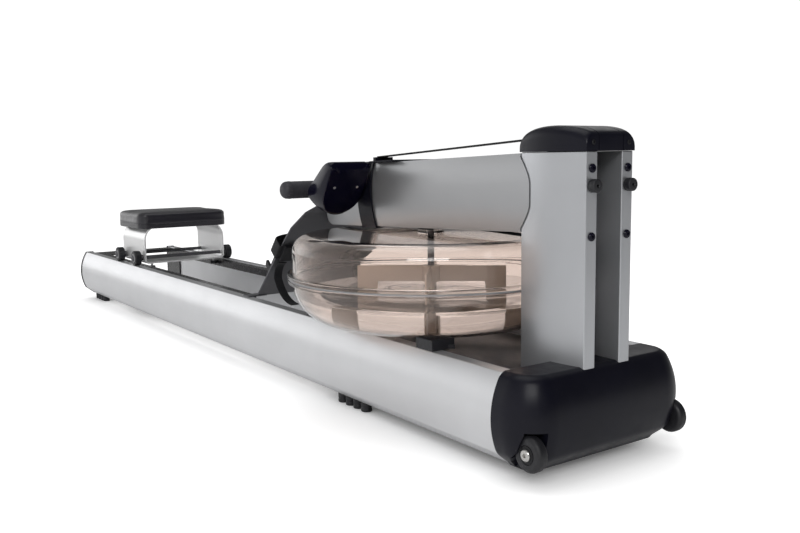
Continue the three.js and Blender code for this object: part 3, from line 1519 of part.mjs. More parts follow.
function addSeatWheels() {
  const outer = seatWheelInnerX + seatWheelWidth;
  const round = seatWheelRound;
  const bore = boreFor(seatAxleRadius);
  const ends = [{ way: -1, row: 'front' }, { way: 1, row: 'rear' }];
  for (const { way, row } of ends) {
    const y = at(seatStation + way * seatWheelBase / 2);
    for (const { side, name } of sides) {
      const profile = [
        [bore, seatWheelInnerX],
        [seatWheelRadius - round, seatWheelInnerX],
        [seatWheelRadius, seatWheelInnerX + round],
        [seatWheelRadius, outer - round],
        [seatWheelRadius - round, outer],
        [seatWheelHubRadius, outer],
        [seatWheelHubRadius, outer + seatWheelHubProud],
        [bore, outer + seatWheelHubProud],
        [bore, seatWheelInnerX],
      ];
      addPiece(`${row}_${name}_seat_wheel`, turnedAlongX(profile.map(([r, h]) => [r, h * side]), y,
        seatAxleZ, wheelSteps), blackRubber);
    }
    const collar = seatFrameHalf + fitGap;
    const collarEnd = seatWheelInnerX - fitGap;
    const head = outer + seatWheelHubProud + fitGap;
    const half = [
      [seatAxleRadius, collar],
      [seatAxleCollar, collar],
      [seatAxleCollar, collarEnd],
      [seatAxleRadius, collarEnd],
      [seatAxleRadius, head],
      [seatAxleHeadRadius, head],
      [seatAxleHeadRadius, head + seatAxleHead],
      [0, head + seatAxleHead],
    ];
    const axle = [...half.map(([r, h]) => [r, -h]).reverse(), ...half];
    addPiece(`${row}_seat_axle`, turnedAlongX(axle, y, seatAxleZ), darkSteel);
  }
}

addRails();
addTracks();
addTrays();
addFeet();
addUprights();
addTopCaps();
addFrontCap();
addTransportWheels();
addBeams();
addBeamBand();
addTank();
addWater();
addPaddle();
addTankMat();
addBeltDrive();
addRecoil();
addBelt();
addHandle();
addMonitor();
addFootboard();
addFootrests();
addStraps();
addSeatPad();
addSeatFrame();
addSeatWheels();

export default machine;
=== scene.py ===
import math
import random

import bmesh
import bpy
from mathutils import Matrix, Vector


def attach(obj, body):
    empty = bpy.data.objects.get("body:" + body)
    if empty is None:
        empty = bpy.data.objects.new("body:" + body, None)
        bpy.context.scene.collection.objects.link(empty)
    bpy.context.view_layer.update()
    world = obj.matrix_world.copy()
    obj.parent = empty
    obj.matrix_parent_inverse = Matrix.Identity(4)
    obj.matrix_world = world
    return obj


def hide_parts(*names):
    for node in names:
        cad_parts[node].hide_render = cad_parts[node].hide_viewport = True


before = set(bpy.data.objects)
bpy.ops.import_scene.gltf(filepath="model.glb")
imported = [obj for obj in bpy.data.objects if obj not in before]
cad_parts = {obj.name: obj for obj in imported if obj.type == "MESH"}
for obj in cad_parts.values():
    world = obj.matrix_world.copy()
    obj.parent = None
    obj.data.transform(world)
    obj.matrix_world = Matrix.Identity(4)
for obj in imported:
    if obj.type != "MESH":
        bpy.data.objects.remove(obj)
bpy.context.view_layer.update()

# Sizes are in millimetres and pieces are made in metres. Stations are lengths from the tank end.
MM = 0.001
HALF_LENGTH = 1067.5

# GAP parts two pieces, SUNK sets one into another, and CUT_OVER lets a cutting shape reach past its cut
GAP = 0.3
SUNK = 1
CUT_OVER = 5
CHAMFER = 1
WELD_REACH = 0.01

# Angles, directions and sides
SMOOTH_DEGREES = 32
FULL = 2 * math.pi
QUARTER = math.pi / 2
SIXTH = math.pi / 3
UP = Vector((0, 0, 1))
ACROSS = Vector((1, 0, 0))
SIDES = [(-1, "left"), (1, "right")]

# Steps round turned pieces
TURNS = 48
WHEEL_TURNS = 64
SPOOL_TURNS = 56
SMALL_TURNS = 32
SCREW_TURNS = 24

# Widths of softened edges
EDGE_HAIR = 0.3
EDGE_CLOTH = 0.4
EDGE_FINE = 0.5
EDGE_SMALL = 0.6
EDGE_MOULDED = 0.7
EDGE = 0.8
EDGE_WIDE = 1.0
EDGE_CAP = 1.6
EDGE_RAIL = 2.0

# Camera
CAMERA_PLACE = (-931.3, -1862.9, 449.3)
CAMERA_YAW = 34.98
CAMERA_PITCH = 7.19
CAMERA_ROLL = -0.80
CAMERA_LENS = 38.96
CAMERA_SENSOR = 36
CAMERA_REACH = 100000

# Studio: strengths of the surroundings by direction, the directions over which they fade, and the floor
FLOOR_HALF = 16000
FLOOR_SEEN = 0.92
FLOOR_BOUNCE = 0.28
FLOOR_SHADE_REACH = 260
BACKGROUND = 1.04
LEFT_STRENGTH = 0.86
RIGHT_STRENGTH = 0.16
OVERHEAD_SHARE = 0.45
FRONT_SHARE = 0.26
REAR_MORE = 1.3
ACROSS_FADE = (-0.9, 0.3)
UPWARD_FADE = (0.1, 0.6)
REAR_FADE = (0.72, 0.96)
REAR_SIDE_FADE = (-0.2, 0.3)
FRONT_FADE = (-0.9, -0.1)
FLOOR_COLOUR = (0.86, 0.86, 0.86)
FLOOR_ROUGHNESS = 0.6
SOFTBOXES = [
    {"name": "main", "place": (-2300, -3400, 2300), "aim": (0, -600, 250), "size": (2200, 1300), "watts": 60},
    {"name": "rear", "place": (2600, 1800, 2300), "aim": (0, 0, 200), "size": (2400, 2400), "watts": 12},
    {"name": "top", "place": (0, -200, 3400), "aim": (0, -200, 0), "size": (2600, 2600), "watts": 30},
]

# Nodes: where most of a noise lies, and the first colour's place in a mix node
NOISE_MIDDLE = (0.3, 0.7)
MIX_FIRST_COLOUR = 6

# Rails
RAIL_TOP_Z = 153
RAIL_BULGE_Z = 88
RAIL_CREASE_Z = 38
RAIL_TOE_Z = 17.5
RAIL_INNER_X = 127
RAIL_TOP_X = 148.5
RAIL_BULGE_X = 167.5
RAIL_CREASE_X = 155.7
RAIL_TOE_WIDTH = 3
RAIL_FRONT = 82.3
RAIL_REAR = 2123.7
RAIL_STEPS = 36

# Front cap
CAP_REAR = 82
CAP_RIM = 1.5
CAP_WALL = 3
CAP_TOP_Z = RAIL_TOP_Z + CAP_RIM
CAP_FOOT_Z = RAIL_TOE_Z - CAP_RIM
CAP_FRONT = 5
CAP_CORNER = 57
CAP_TOP_ROUND = 9
CAP_FOOT_ROUND = 1.5
CAP_CREASE_ROUND = 6
CAP_CAVITY_HALF = 126
CAP_LEVELS = 44
CAP_SIDE_STEPS = 6
CAP_CORNER_STEPS = 16
CAVITY_LEVELS = 16
RECESS_INNER_X = 131
RECESS_OUTER_X = 157
RECESS_REACH = 29.7
RECESS_UPPER = (28, 78)
RECESS_MIDDLE = 41
RECESS_LOWER = (65, 30)
RECESS_REAR = 75
WHEEL_STATION = 25.7
WHEEL_Z = 51
WHEEL_RADIUS = 25.7
WHEEL_INNER_X = 137
WHEEL_WIDTH = 18
WHEEL_ROUND = 6
WHEEL_FACE_RADIUS = 14
WHEEL_DISH_RADIUS = 13.2
WHEEL_DISH = 1.2
WHEEL_HUB_RADIUS = 12.6
WHEEL_HUB_FACE = 11.4
WHEEL_HUB_SIDE = 0.1
WHEEL_HUB_PROUD = 0.2
AXLE_RADIUS = 4

# Tower
TOWER_FRONT = 25
TOWER_REAR = 153
TOWER_FOOT_Z = 127.3
TOWER_TOP_Z = 454
TOWER_INNER_X = 25
TOWER_FLAT_X = 47
TOWER_BULGE_X = 55.5
TOWER_STEPS = 28
TOP_RIM = 1.8
TOP_SIDE = 20
TOP_HEIGHT = 36.5
TOP_ROUND = 15
TOP_WALL = 3
TOP_GRID = 30
TOP_SEAM = 1.1
TOP_SEAM_ROUND = 1.6
TOP_FAR_EDGE = 200
BULGE_SAMPLES = 200
BELT_SLOT_HALF = 16
BUMPER_RADIUS = 9.4
BUMPER_LENGTH = 12
BUMPER_Z = 407
BUMPER_BORE = 6
BUMPER_BORE_RADIUS = 2.2
BUMPER_MOUTH_RADIUS = 3
BUMPER_ROUND = 2
BUMPER_HEEL = 1.5
STRIP_X = 36
TOWER_SCREW_ZS = (337, 431)
TOP_SCREW_RISE = 12

# Beams, drawn level and then tilted
BEAM_FOOT_Z = 336.2
BEAM_TILT = math.radians(1.95)
BEAM_HEIGHT = 116.5
BEAM_TONGUE = 55.5
BEAM_LENGTH = 562
BEAM_FULL_LENGTH = 436
BEAM_WALL = 3
BEAM_CORNER = 15
BEAM_SIDE_X = 53.6
BEAM_SIDE_SHARES = (0.35, 0.625)
BEAM_JOINT = 1.3
BEAM_STEPS = 12
BAND_STATION = 388
BAND_WIDTH = 46
BAND_THICKNESS = 3
GUIDE_RADIUS = 4
GUIDE_RISE = 4.6

# Tank
TANK_STATION = 438
TANK_RADIUS = 248
TANK_FLANGE_RADIUS = 257
TANK_BOTTOM_Z = 160
TANK_FLOOR_RADIUS = 172
TANK_BOWL_TOP_Z = 234
TANK_FLANGE = 6
TANK_RING = 2.4
SEAL_INSET = 1.5
TANK_TOP_Z = 316
TANK_SHOULDER = 30
TANK_WALL = 4
TANK_BOSS_RADIUS = 24
TANK_BOSS_HEIGHT = 4
TANK_EDGE = 1.6
TANK_TURNS = 144
BOWL_STEPS = 16
LID_STEPS = 10
WATER_STEPS = 30
MAT_STRIP_WIDTH = 44
MAT_STRIP_FAR = 226
MAT_BLOCK_WIDTH = 44
MAT_BLOCK_HEIGHT = 17
MAT_BLOCK_NEAR = 155
MAT_BLOCK_FAR = 197
WATER_Z = 212
WATER_RINGS = 26
WATER_RIPPLE = 0.35
WATER_WAVES = (17, 31, 11)
WATER_EDGE = 1
SHAFT_RADIUS = 6
SHAFT_CUP_RADIUS = 14
SHAFT_CUP_HEIGHT = 6
PADDLE_RADIUS = 134
PADDLE_TURN = math.radians(-41)
PADDLE_ARM_TOP_Z = 256
PADDLE_ARM_HEIGHT = 28
PADDLE_SHEET = 3
PADDLE_ARMS = 4
PADDLE_HUB_RADIUS = 16
PADDLE_ROOT = 10
PADDLE_FIN_INNER = 96
PADDLE_FIN_DROP = 50
PADDLE_FIN_SLANT = 6
PADDLE_FIN_ROUND = 8
DROPLET_COUNT = 260
DROPLET_RADII = (0.5, 1.2)
DROPLET_LOW = 6
DROPLET_HIGH = 26
DROPLET_SEED = 7
DROPLET_TURNS = 8
DROPLET_SHARES = [(0, 0), (1, 0), (0.8, 0.4), (0.4, 0.6), (0, 0.65)]

# Belt drive
BELT_THICKNESS = 1.6
BELT_WIDTH = 24
PULLEY_STATION = 98
PULLEY_Z = 441
PULLEY_RADIUS = 36
PULLEY_WIDTH = 28
PULLEY_RIM = 3
PULLEY_AXLE_RADIUS = 6
PULLEY_HUB_RADIUS = 14
PULLEY_WEB_INNER = 16
PULLEY_WEB_OUTER = 28
PULLEY_WEB_DEPTH = 4
SPOOL_RADIUS = 19
SPOOL_FLANGE_RADIUS = 23
SPOOL_FLANGE = 2.5
SPOOL_BASE_Z = 322
SPOOL_HEIGHT = 48
GROOVE_HEIGHT = 11
CORD_RADIUS = 3.5
RECOIL_STATION = 123
RECOIL_Z = 296
RECOIL_RADIUS = 24
RECOIL_WIDTH = 14
RECOIL_RIM = 3
TRUNNION_HALF = 28
TRUNNION_RADIUS = 6
DECK_TOP_Z = 127
ANCHOR_HEIGHT = 9
ARC_STEPS = 24

# Handle
HANDLE_ALONG = 502
HANDLE_HALF = 182
HANDLE_RADIUS = 16.3
HANDLE_END_ROUND = 11
HANDLE_END_RING = 9
HOOK_RADIUS = 19
HOOK_HALF = 15
GRIP_RIBS = 34
GRIP_RIB_DEPTH = 0.2
GRIP_GROOVE_SHARES = (0.3, 0.12)
GRIP_MARGIN = 6
GRIP_END = 4
END_RING_FOOT = 1.6
END_RING_FACE = 1.2
END_RING_PROUD = 0.35

# Monitor, in the beams' frame
MONITOR_SIDE_X = 62.4
MONITOR_WIDTH = 84
MONITOR_CENTRE_X = -MONITOR_SIDE_X - MONITOR_WIDTH / 2
MONITOR_TOP_Z = 119.7
MONITOR_HEIGHT = 96
MONITOR_BACK = 378
MONITOR_TOP_DEPTH = 22
MONITOR_BEVEL = 14
MONITOR_BEVEL_DEPTH = 6
BEVEL_POWER = 1.5
MONITOR_SLOPE = math.radians(35)
MONITOR_SLOPE_LENGTH = 78
MONITOR_NOSE = 12
MONITOR_CHIN_DEPTH = 59
MONITOR_CHIN_ROUND = 40
MONITOR_LEAST_DEPTH = 4
MONITOR_MIDDLE_SHARE = 0.45
MONITOR_FACE_SHARES = (0.1, 0.3, 0.5, 0.7, 0.85, 0.95)
MONITOR_HEEL_RISE = 14
MONITOR_LEAN = 45
MONITOR_SCREW_DROP = 46
MONITOR_SCREW_HALF = 24
MONITOR_CORNER = 9
MONITOR_EDGE = 3.2
MONITOR_EDGE_STEPS = 4
MONITOR_STEPS = 12
SCREEN_WIDTH = 62
SCREEN_HEIGHT = 34
SCREEN_MARGIN = 7
SCREEN_BORDER = 3
SCREEN_CORNER = 1.5
SCREEN_PROUD = 0.8
BEZEL_CORNER = 4
BEZEL_PROUD = 0.5
BUTTON_COUNT = 3
BUTTON_RADIUS = 4
BUTTON_PITCH = 20
BUTTON_DROP = 14
BUTTON_PROUD = 2
BUTTON_SUNK = 3

# Footboard
BOARD_STATION = 745
BOARD_Z = 341
BOARD_FOOT_STATION = 912
BOARD_FOOT_Z = 154.8
BOARD_THICKNESS = 3
BOARD_HALF = 118
BOARD_SHARES = [(0, 0.72), (0.17, 0.88), (0.42, 0.93), (1, 1)]
BOARD_SLOPE = math.atan2(BOARD_Z - BOARD_FOOT_Z, BOARD_FOOT_STATION - BOARD_STATION)
BOARD_LENGTH = math.hypot(BOARD_Z - BOARD_FOOT_Z, BOARD_FOOT_STATION - BOARD_STATION)
REST_WIDTH = 92
REST_LENGTH = 186
REST_THICKNESS = 5
REST_CENTRE_X = 54
REST_FROM_BOTTOM = 22
REST_GAP = 0.5
REST_TOE_ROUND = 20
HEEL_HEIGHT = 34
HEEL_THICKNESS = 6
HEEL_STEPS = 32
REST_WALL_HEIGHT = 14
REST_WALL_LENGTH = 50
REST_RIBS = 7
RIB_FIRST = 26
RIB_PITCH = 14
RIB_MARGIN = 12
RIB_WIDTH = 4
RIB_PROUD = 1.2
SLIDE_FROM_HEEL = 96
SLIDE_REACH = 20
SLIDE_HALF = 5
SLIDE_HEAD = 4
SLIDE_HEAD_HALF = 11
STRAP_WIDTH = 36
STRAP_THICKNESS = 2.2
STRAP_HEIGHT = 24
STRAP_FROM_HEEL = 100
STRAP_INSET = 5
STRAP_CLEARANCE = 1.2
STRAP_TAIL = 38
STRAP_TURN = 2.5
STRAP_END_WIDTH = 18
STRAP_END_X = 96
STRAP_END_POINTS = [(828, 233), (849, 213), (853, 198), (833, 171), (778, 150)]
REST_TRAVEL_DOWN = 8
BUCKLE_WIDTH = 30
BUCKLE_LENGTH = 42
BUCKLE_THICKNESS = 8
BUCKLE_CORNER = 4
BUCKLE_GAP = 0.5

# Seat
SEAT_STATION = 1725
SEAT_BASE = 148
SEAT_WHEEL_RADIUS = 20.5
SEAT_WHEEL_WIDTH = 18.5
SEAT_WHEEL_INNER_X = 128.5
SEAT_WHEEL_HUB = 13
SEAT_HUB_CLEARANCE = 0.1
SEAT_HUB_SIDE = 0.6
SEAT_HUB_PROUD = 1.5
SEAT_HUB_RIM = 3
SEAT_HUB_DISH = 0.4
SEAT_HUB_DISH_START = 3.6
TYRE_ROUND = 2.5
GROOVE_HALF = 0.7
GROOVE_FLOOR_HALF = 0.4
GROOVE_DEPTH = 0.8
SEAT_WHEEL_Z = RAIL_TOP_Z + GAP + SEAT_WHEEL_RADIUS
SEAT_AXLE_RADIUS = 5
SEAT_COLLAR = 8.5
SEAT_HEAD_RADIUS = 8
SEAT_FRAME_DEPTH = 192
SEAT_SHEET = 4
SEAT_HALF = 120
SEAT_BOTTOM_Z = 157
SEAT_TOP_Z = 266
SEAT_CORNER = 10
SEAT_BEND = 40
SEAT_FLANGE_X = 52
SEAT_BOLT_X = 66
SEAT_BOLT_REACH = 70
PIN_RADIUS = 3
PIN_HEAD_RADIUS = 5.5
PIN_FOOT_Z = 137.2
PIN_HEAD_TOP_Z = 139.7
ROLLER_X = 94.2
ROLLER_AHEAD = 75
ROLLER_RADIUS = 9.5
ROLLER_FACE_RADIUS = 8.7
ROLLER_ROUND = 1
ROLLER_LOW_Z = 140
ROLLER_HIGH_Z = 149
PAD_WIDTH = 270
PAD_DEPTH = 210
PAD_HEIGHT = 40
PAD_CORNER = 30
PAD_EDGE = 8
PAD_FOOT_ROUND = 3
PAD_CROWN = 3.5
PAD_SHRINK = 1.5
PAD_LEAST_CORNER = 4
PAD_WAIST = 0.8
PAD_WAIST_SHARE = 0.45
PAD_TOP_SHARES = (0.85, 0.6, 0.3, 0.08)
PAD_HELD = 3
PAD_SMOOTHINGS = 4
SKIRT_DROP = 9
SKIRT_INSET = 3
SKIRT_WALL = 7
SKIRT_ROUND = 2
PAD_VOXEL = 4.5
PAD_PRESSURE = 4
PAD_CAP = 1.5
PAD_FRAMES = 20

# Feet
FOOT_RADIUS = 10
FOOT_PITCH = 26
FOOT_COUNT = 4
FOOT_X = 121
FOOT_TOP_Z = 17.2
FOOT_ROUND = 2
FOOT_NECK_LOW = 6
FOOT_NECK_HIGH = 8
FOOT_NECK_DEPTH = 0.7
FOOT_STRIP_CORNER = 4
FOOT_OVERLAP = 2
FOOT_STRIP_TOP_Z = 25.7
FOOT_STRIP_INNER_X = 104.7
FOOT_STRIP_OUTER_X = 126.7
FOOT_STATIONS = {"front": 473, "rear": 2026}

# Screws, bolts and axle ends: the head's radius, its height, and the reach of its socket
TOWER_SCREW = (6.2, 3.2, 2.6)
TOP_SCREW = (3.4, 1.6, 1.6)
MONITOR_SCREW = (2.6, 1.0, 1.1)
SEAT_BOLT = (6, 3.6, 2.6)
TRANSPORT_HEAD = (8.5, 3.5, 3.4)
SEAT_AXLE_HEAD = (SEAT_HEAD_RADIUS, 3, 2.8)
SCREW_SHARES = [(1, 0), (1, 0.55), (0.86, 0.93), (0.7, 1)]
SOCKET_RIM_SHARE = 1.15
SOCKET_FLOOR_SHARE = 0.3

scene = bpy.context.scene


def at(station):
    return station - HALF_LENGTH


# Outlines
def arc(cx, cy, rx, ry, start, end, steps):
    turns = [start + (end - start) * i / steps for i in range(steps + 1)]
    return [(cx + rx * math.cos(turn), cy + ry * math.sin(turn)) for turn in turns]


def arc_through(first, middle, last, steps):
    (ax, ay), (bx, by), (cx, cy) = first, middle, last
    d = 2 * (ax * (by - cy) + bx * (cy - ay) + cx * (ay - by))
    a2, b2, c2 = ax * ax + ay * ay, bx * bx + by * by, cx * cx + cy * cy
    ux = (a2 * (by - cy) + b2 * (cy - ay) + c2 * (ay - by)) / d
    uy = (a2 * (cx - bx) + b2 * (ax - cx) + c2 * (bx - ax)) / d
    radius = math.hypot(ax - ux, ay - uy)
    start = math.atan2(ay - uy, ax - ux)
    to_middle = (math.atan2(by - uy, bx - ux) - start) % FULL
    to_last = (math.atan2(cy - uy, cx - ux) - start) % FULL
    sweep = to_last if to_middle <= to_last else to_last - FULL
    return arc(ux, uy, radius, radius, start, start + sweep, steps)


def rounded_rectangle(x0, x1, y0, y1, radius, steps):
    left, right, low, high = x0 + radius, x1 - radius, y0 + radius, y1 - radius
    outline = []
    for i, (x, y) in enumerate([(right, high), (left, high), (left, low), (right, low)]):
        outline += arc(x, y, radius, radius, i * QUARTER, (i + 1) * QUARTER, steps)
    return outline


def band_outline(line, thickness):
    """A band of even thickness along a line of points."""
    sides = []
    for sign in (1, -1):
        side = []
        for i, (x, y) in enumerate(line):
            px, py = line[max(i - 1, 0)]
            nx, ny = line[min(i + 1, len(line) - 1)]
            along = Vector((nx - px, ny - py)).normalized()
            side.append((x - along.y * sign * thickness / 2, y + along.x * sign * thickness / 2))
        sides.append(side)
    return sides[0] + sides[1][::-1]


def mirrored(outline, side):
    return [(x * side, y) for x, y in outline]


def handed(profile, side):
    """A turned profile set towards the left or the right."""
    return [(r, h * side) for r, h in profile]


def both_ends(half):
    """A turned profile that runs on, mirrored, to the other end."""
    return half + [(r, -h) for r, h in half[::-1]]


def span(side, a, b):
    """Two places across, in rising order, on the left or the right."""
    return sorted([side * a, side * b])


def flat_section(width, thickness):
    half, thick = width / 2, thickness / 2
    return [(-half, -thick), (half, -thick), (half, thick), (-half, thick)]


def laid(place, angle, axis):
    return Matrix.Translation(place) @ Matrix.Rotation(angle, 4, axis)


def standing(way):
    """The turn that stands a shape's Z axis along the way."""
    return UP.rotation_difference(Vector(way)).to_matrix().to_4x4()


# Shapes: a list of points in millimetres, and a list of faces
def joined(*shapes):
    points = []
    faces = []
    for more_points, more_faces in shapes:
        start = len(points)
        points.extend(more_points)
        faces.extend(tuple(start + i for i in face) for face in more_faces)
    return points, faces


def moved(shape, matrix):
    points, faces = shape
    return [tuple(matrix @ Vector(point)) for point in points], faces


def prism(outline, low, high, place):
    count = len(outline)
    points = [place(a, b, low) for a, b in outline]
    points += [place(a, b, high) for a, b in outline]
    faces = [tuple(range(count)), tuple(range(count, 2 * count))]
    faces += [(i, (i + 1) % count, count + (i + 1) % count, count + i) for i in range(count)]
    return points, faces


def along_x(outline, low, high):
    return prism(outline, low, high, lambda a, b, h: (h, a, b))


def along_y(outline, low, high):
    return prism(outline, low, high, lambda a, b, h: (a, h, b))


def along_z(outline, low, high):
    return prism(outline, low, high, lambda a, b, h: (a, b, h))


def box(x0, x1, y0, y1, z0, z1):
    return along_z([(x0, y0), (x1, y0), (x1, y1), (x0, y1)], z0, z1)


def turned(profile, steps, place):
    """A closed profile of radius and height, turned round an axis."""
    count = len(profile)
    points = []
    for i in range(steps):
        c, s = math.cos(FULL * i / steps), math.sin(FULL * i / steps)
        points += [place(r * c, r * s, h) for r, h in profile]
    faces = []
    for i in range(steps):
        j = (i + 1) % steps
        for k in range(count):
            m = (k + 1) % count
            faces.append((i * count + k, j * count + k, j * count + m, i * count + m))
    return points, faces


def turned_x(profile, y, z, steps=TURNS):
    return turned(profile, steps, lambda a, b, h: (h, y + a, z + b))


def turned_y(profile, x, z, steps=TURNS):
    return turned(profile, steps, lambda a, b, h: (x + a, h, z + b))


def turned_z(profile, x, y, steps):
    return turned(profile, steps, lambda a, b, h: (x + a, y + b, h))


def lofted(rings):
    """A closed skin over rings of points, with a flat face over the first and the last."""
    count = len(rings[0])
    points = [point for ring in rings for point in ring]
    faces = []
    for i in range(len(rings) - 1):
        for j in range(count):
            a, b = i * count + j, i * count + (j + 1) % count
            faces.append((a, b, b + count, a + count))
    last = (len(rings) - 1) * count
    faces.append(tuple(range(count)))
    faces.append(tuple(range(last, last + count)))
    return points, faces


def hooped(rings):
    """A closed skin over rings of points, the last joined to the first."""
    count = len(rings[0])
    points = [point for ring in rings for point in ring]
    total = len(points)
    faces = []
    for i in range(len(rings)):
        for j in range(count):
            a, b = i * count + j, i * count + (j + 1) % count
            faces.append((a, b, (b + count) % total, (a + count) % total))
    return points, faces


def swept(points, ways, section):
    """A section carried along points, its first axis kept near the given way at each point."""
    rings = []
    for i, point in enumerate(points):
        along = (points[min(i + 1, len(points) - 1)] - points[max(i - 1, 0)]).normalized()
        across = along.cross(ways[i]).normalized()
        first = across.cross(along)
        rings.append([tuple(point + first * a + across * b) for a, b in section])
    return lofted(rings)


def circle(radius, steps):
    return arc(0, 0, radius, radius, 0, FULL, steps)[:-1]


def grid(rows):
    """An open sheet over rows of points."""
    wide = len(rows[0])
    faces = []
    for i in range(len(rows) - 1):
        for j in range(wide - 1):
            a = i * wide + j
            faces.append((a, a + 1, a + 1 + wide, a + wide))
    return [point for row in rows for point in row], faces


# Pieces
def baked(piece):
    """Applies the piece's modifiers to its mesh."""
    graph = bpy.context.evaluated_depsgraph_get()
    mesh = bpy.data.meshes.new_from_object(piece.evaluated_get(graph))
    piece.modifiers.clear()
    piece.data = mesh


def shaded(piece, degrees):
    piece.data.shade_smooth()
    piece.data.set_sharp_from_angle(angle=math.radians(degrees))


def softened(piece, width, degrees=SMOOTH_DEGREES, segments=3):
    bevel = piece.modifiers.new("Edges", "BEVEL")
    bevel.width = width * MM
    bevel.segments = segments
    bevel.limit_method = "ANGLE"
    bevel.angle_limit = math.radians(degrees)
    bevel.harden_normals = True


def form(name, shape):
    points, faces = shape
    mesh = bpy.data.meshes.new(name)
    mesh.from_pydata([tuple(c * MM for c in point) for point in points], [], faces)
    work = bmesh.new()
    work.from_mesh(mesh)
    bmesh.ops.remove_doubles(work, verts=work.verts, dist=WELD_REACH * MM)
    bmesh.ops.recalc_face_normals(work, faces=work.faces)
    work.to_mesh(mesh)
    work.free()
    piece = bpy.data.objects.new(name, mesh)
    scene.collection.objects.link(piece)
    return piece


def add_piece(name, shape, material, body, nodes=(), edge=0.0, degrees=SMOOTH_DEGREES, segments=3):
    piece = form(name, shape)
    piece.data.materials.append(material)
    shaded(piece, degrees)
    if edge:
        softened(piece, edge, degrees, segments)
    if nodes:
        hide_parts(*nodes)
    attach(piece, body)
    return piece


def cut_by(piece, *shapes, way="DIFFERENCE"):
    """Takes shapes out of the piece, or joins them to it."""
    for shape in shapes:
        tool = form(piece.name + "_cut", shape)
        cut = piece.modifiers.new("Cut", "BOOLEAN")
        cut.operation = way
        cut.solver = "EXACT"
        cut.object = tool
        baked(piece)
        bpy.data.objects.remove(tool)
    shaded(piece, SMOOTH_DEGREES)


def polished(node, material, edge=EDGE, degrees=SMOOTH_DEGREES, segments=2):
    """A CAD node that keeps its shape: its seams are closed, its edges softened and its faces smoothed."""
    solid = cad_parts[node]
    weld = solid.modifiers.new("Seams", "WELD")
    weld.merge_threshold = WELD_REACH * MM
    softened(solid, edge, degrees, segments)
    for slot in solid.material_slots:
        slot.material = material


# Materials, and the nodes that they are made of
class Mixer:
    """Makes nodes in a tree. A socket takes a value, or the output of another node."""

    def __init__(self, tree):
        self.nodes, self.links = tree.nodes, tree.links

    def give(self, socket, value):
        if isinstance(value, bpy.types.NodeSocket):
            self.links.new(value, socket)
        else:
            socket.default_value = value

    def made(self, kind, **sockets):
        node = self.nodes.new("ShaderNode" + kind)
        for socket, value in sockets.items():
            self.give(node.inputs[socket.replace("_", " ")], value)
        return node

    def ranged(self, source, from_low, from_high, low, high, way="SMOOTHSTEP"):
        node = self.made("MapRange", Value=source, From_Min=from_low, From_Max=from_high, To_Min=low,
                         To_Max=high)
        node.interpolation_type = way
        return node.outputs["Result"]

    def combined(self, operation, first, second):
        node = self.made("Math")
        node.operation = operation
        self.give(node.inputs[0], first)
        self.give(node.inputs[1], second)
        return node.outputs["Value"]

    def seen(self, hidden, shown):
        """One value for the rays that reach the eye straight or through glass, another for the rest."""
        path = self.made("LightPath").outputs
        direct = self.combined("MAXIMUM", path["Is Camera Ray"], path["Is Transmission Ray"])
        pick = self.made("Mix", Factor=direct)
        pick.data_type = "FLOAT"
        self.give(pick.inputs[2], hidden)
        self.give(pick.inputs[3], shown)
        return pick.outputs[0]


class Look(Mixer):
    """One material: a shader, and the nodes that give its surface detail."""

    def __init__(self, name, colour, roughness, metallic=0.0, **sockets):
        self.material = bpy.data.materials.new(name)
        self.material.use_nodes = True
        super().__init__(self.material.node_tree)
        self.shader = self.nodes["Principled BSDF"]
        self.colour = colour
        self.roughness = roughness
        self.give(self.shader.inputs["Base Color"], (*colour, 1))
        self.give(self.shader.inputs["Roughness"], roughness)
        self.give(self.shader.inputs["Metallic"], metallic)
        for socket, value in sockets.items():
            self.give(self.shader.inputs[socket.replace("_", " ")], value)
        self.place = self.made("TexCoord").outputs["Object"]
        self.last_normal = None

    def stretched(self, stretch):
        return self.made("Mapping", Scale=stretch, Vector=self.place).outputs["Vector"]

    def noise(self, scale, stretch=(1, 1, 1), detail=4.0):
        node = self.made("TexNoise", Scale=scale, Detail=detail, Vector=self.stretched(stretch))
        return node.outputs["Fac"]

    def cells(self, scale):
        return self.made("TexVoronoi", Scale=scale, Vector=self.place).outputs["Distance"]

    def bands(self, scale, direction):
        node = self.made("TexWave", Scale=scale, Vector=self.place)
        node.bands_direction = direction
        return node.outputs["Fac"]

    def crossed(self, first, second):
        return self.combined("MULTIPLY", first, second)

    def spread(self, source, low, high):
        """The middle of a noise's range, spread from one value to another."""
        return self.ranged(source, *NOISE_MIDDLE, low, high, "LINEAR")

    def mottled(self, source, amount):
        """Colour that varies by a share round the material's own."""
        node = self.made("Mix", Factor=self.spread(source, 0, 1))
        node.data_type = "RGBA"
        self.give(node.inputs[MIX_FIRST_COLOUR], (*[c * (1 - amount) for c in self.colour], 1))
        self.give(node.inputs[MIX_FIRST_COLOUR + 1], (*[min(1.0, c * (1 + amount)) for c in self.colour], 1))
        self.give(self.shader.inputs["Base Color"], node.outputs[2])

    def uneven(self, source, amount):
        spread = self.spread(source, self.roughness - amount, self.roughness + amount)
        self.give(self.shader.inputs["Roughness"], spread)

    def relief(self, source, strength, depth):
        """Bump, its depth in millimetres."""
        node = self.made("Bump", Strength=strength, Distance=depth * MM, Height=source)
        if self.last_normal:
            self.give(node.inputs["Normal"], self.last_normal)
        self.last_normal = node.outputs["Normal"]
        self.give(self.shader.inputs["Normal"], self.last_normal)


def metal_look(name, colour, roughness, metallic, stretch):
    """Satin metal with fine lines along the way that it was drawn or brushed."""
    look = Look(name, colour, roughness, metallic)
    lines = look.noise(scale=900, stretch=stretch)
    look.mottled(look.noise(scale=9), amount=0.03)
    look.uneven(lines, amount=0.05)
    look.relief(lines, strength=0.1, depth=0.05)
    return look.material


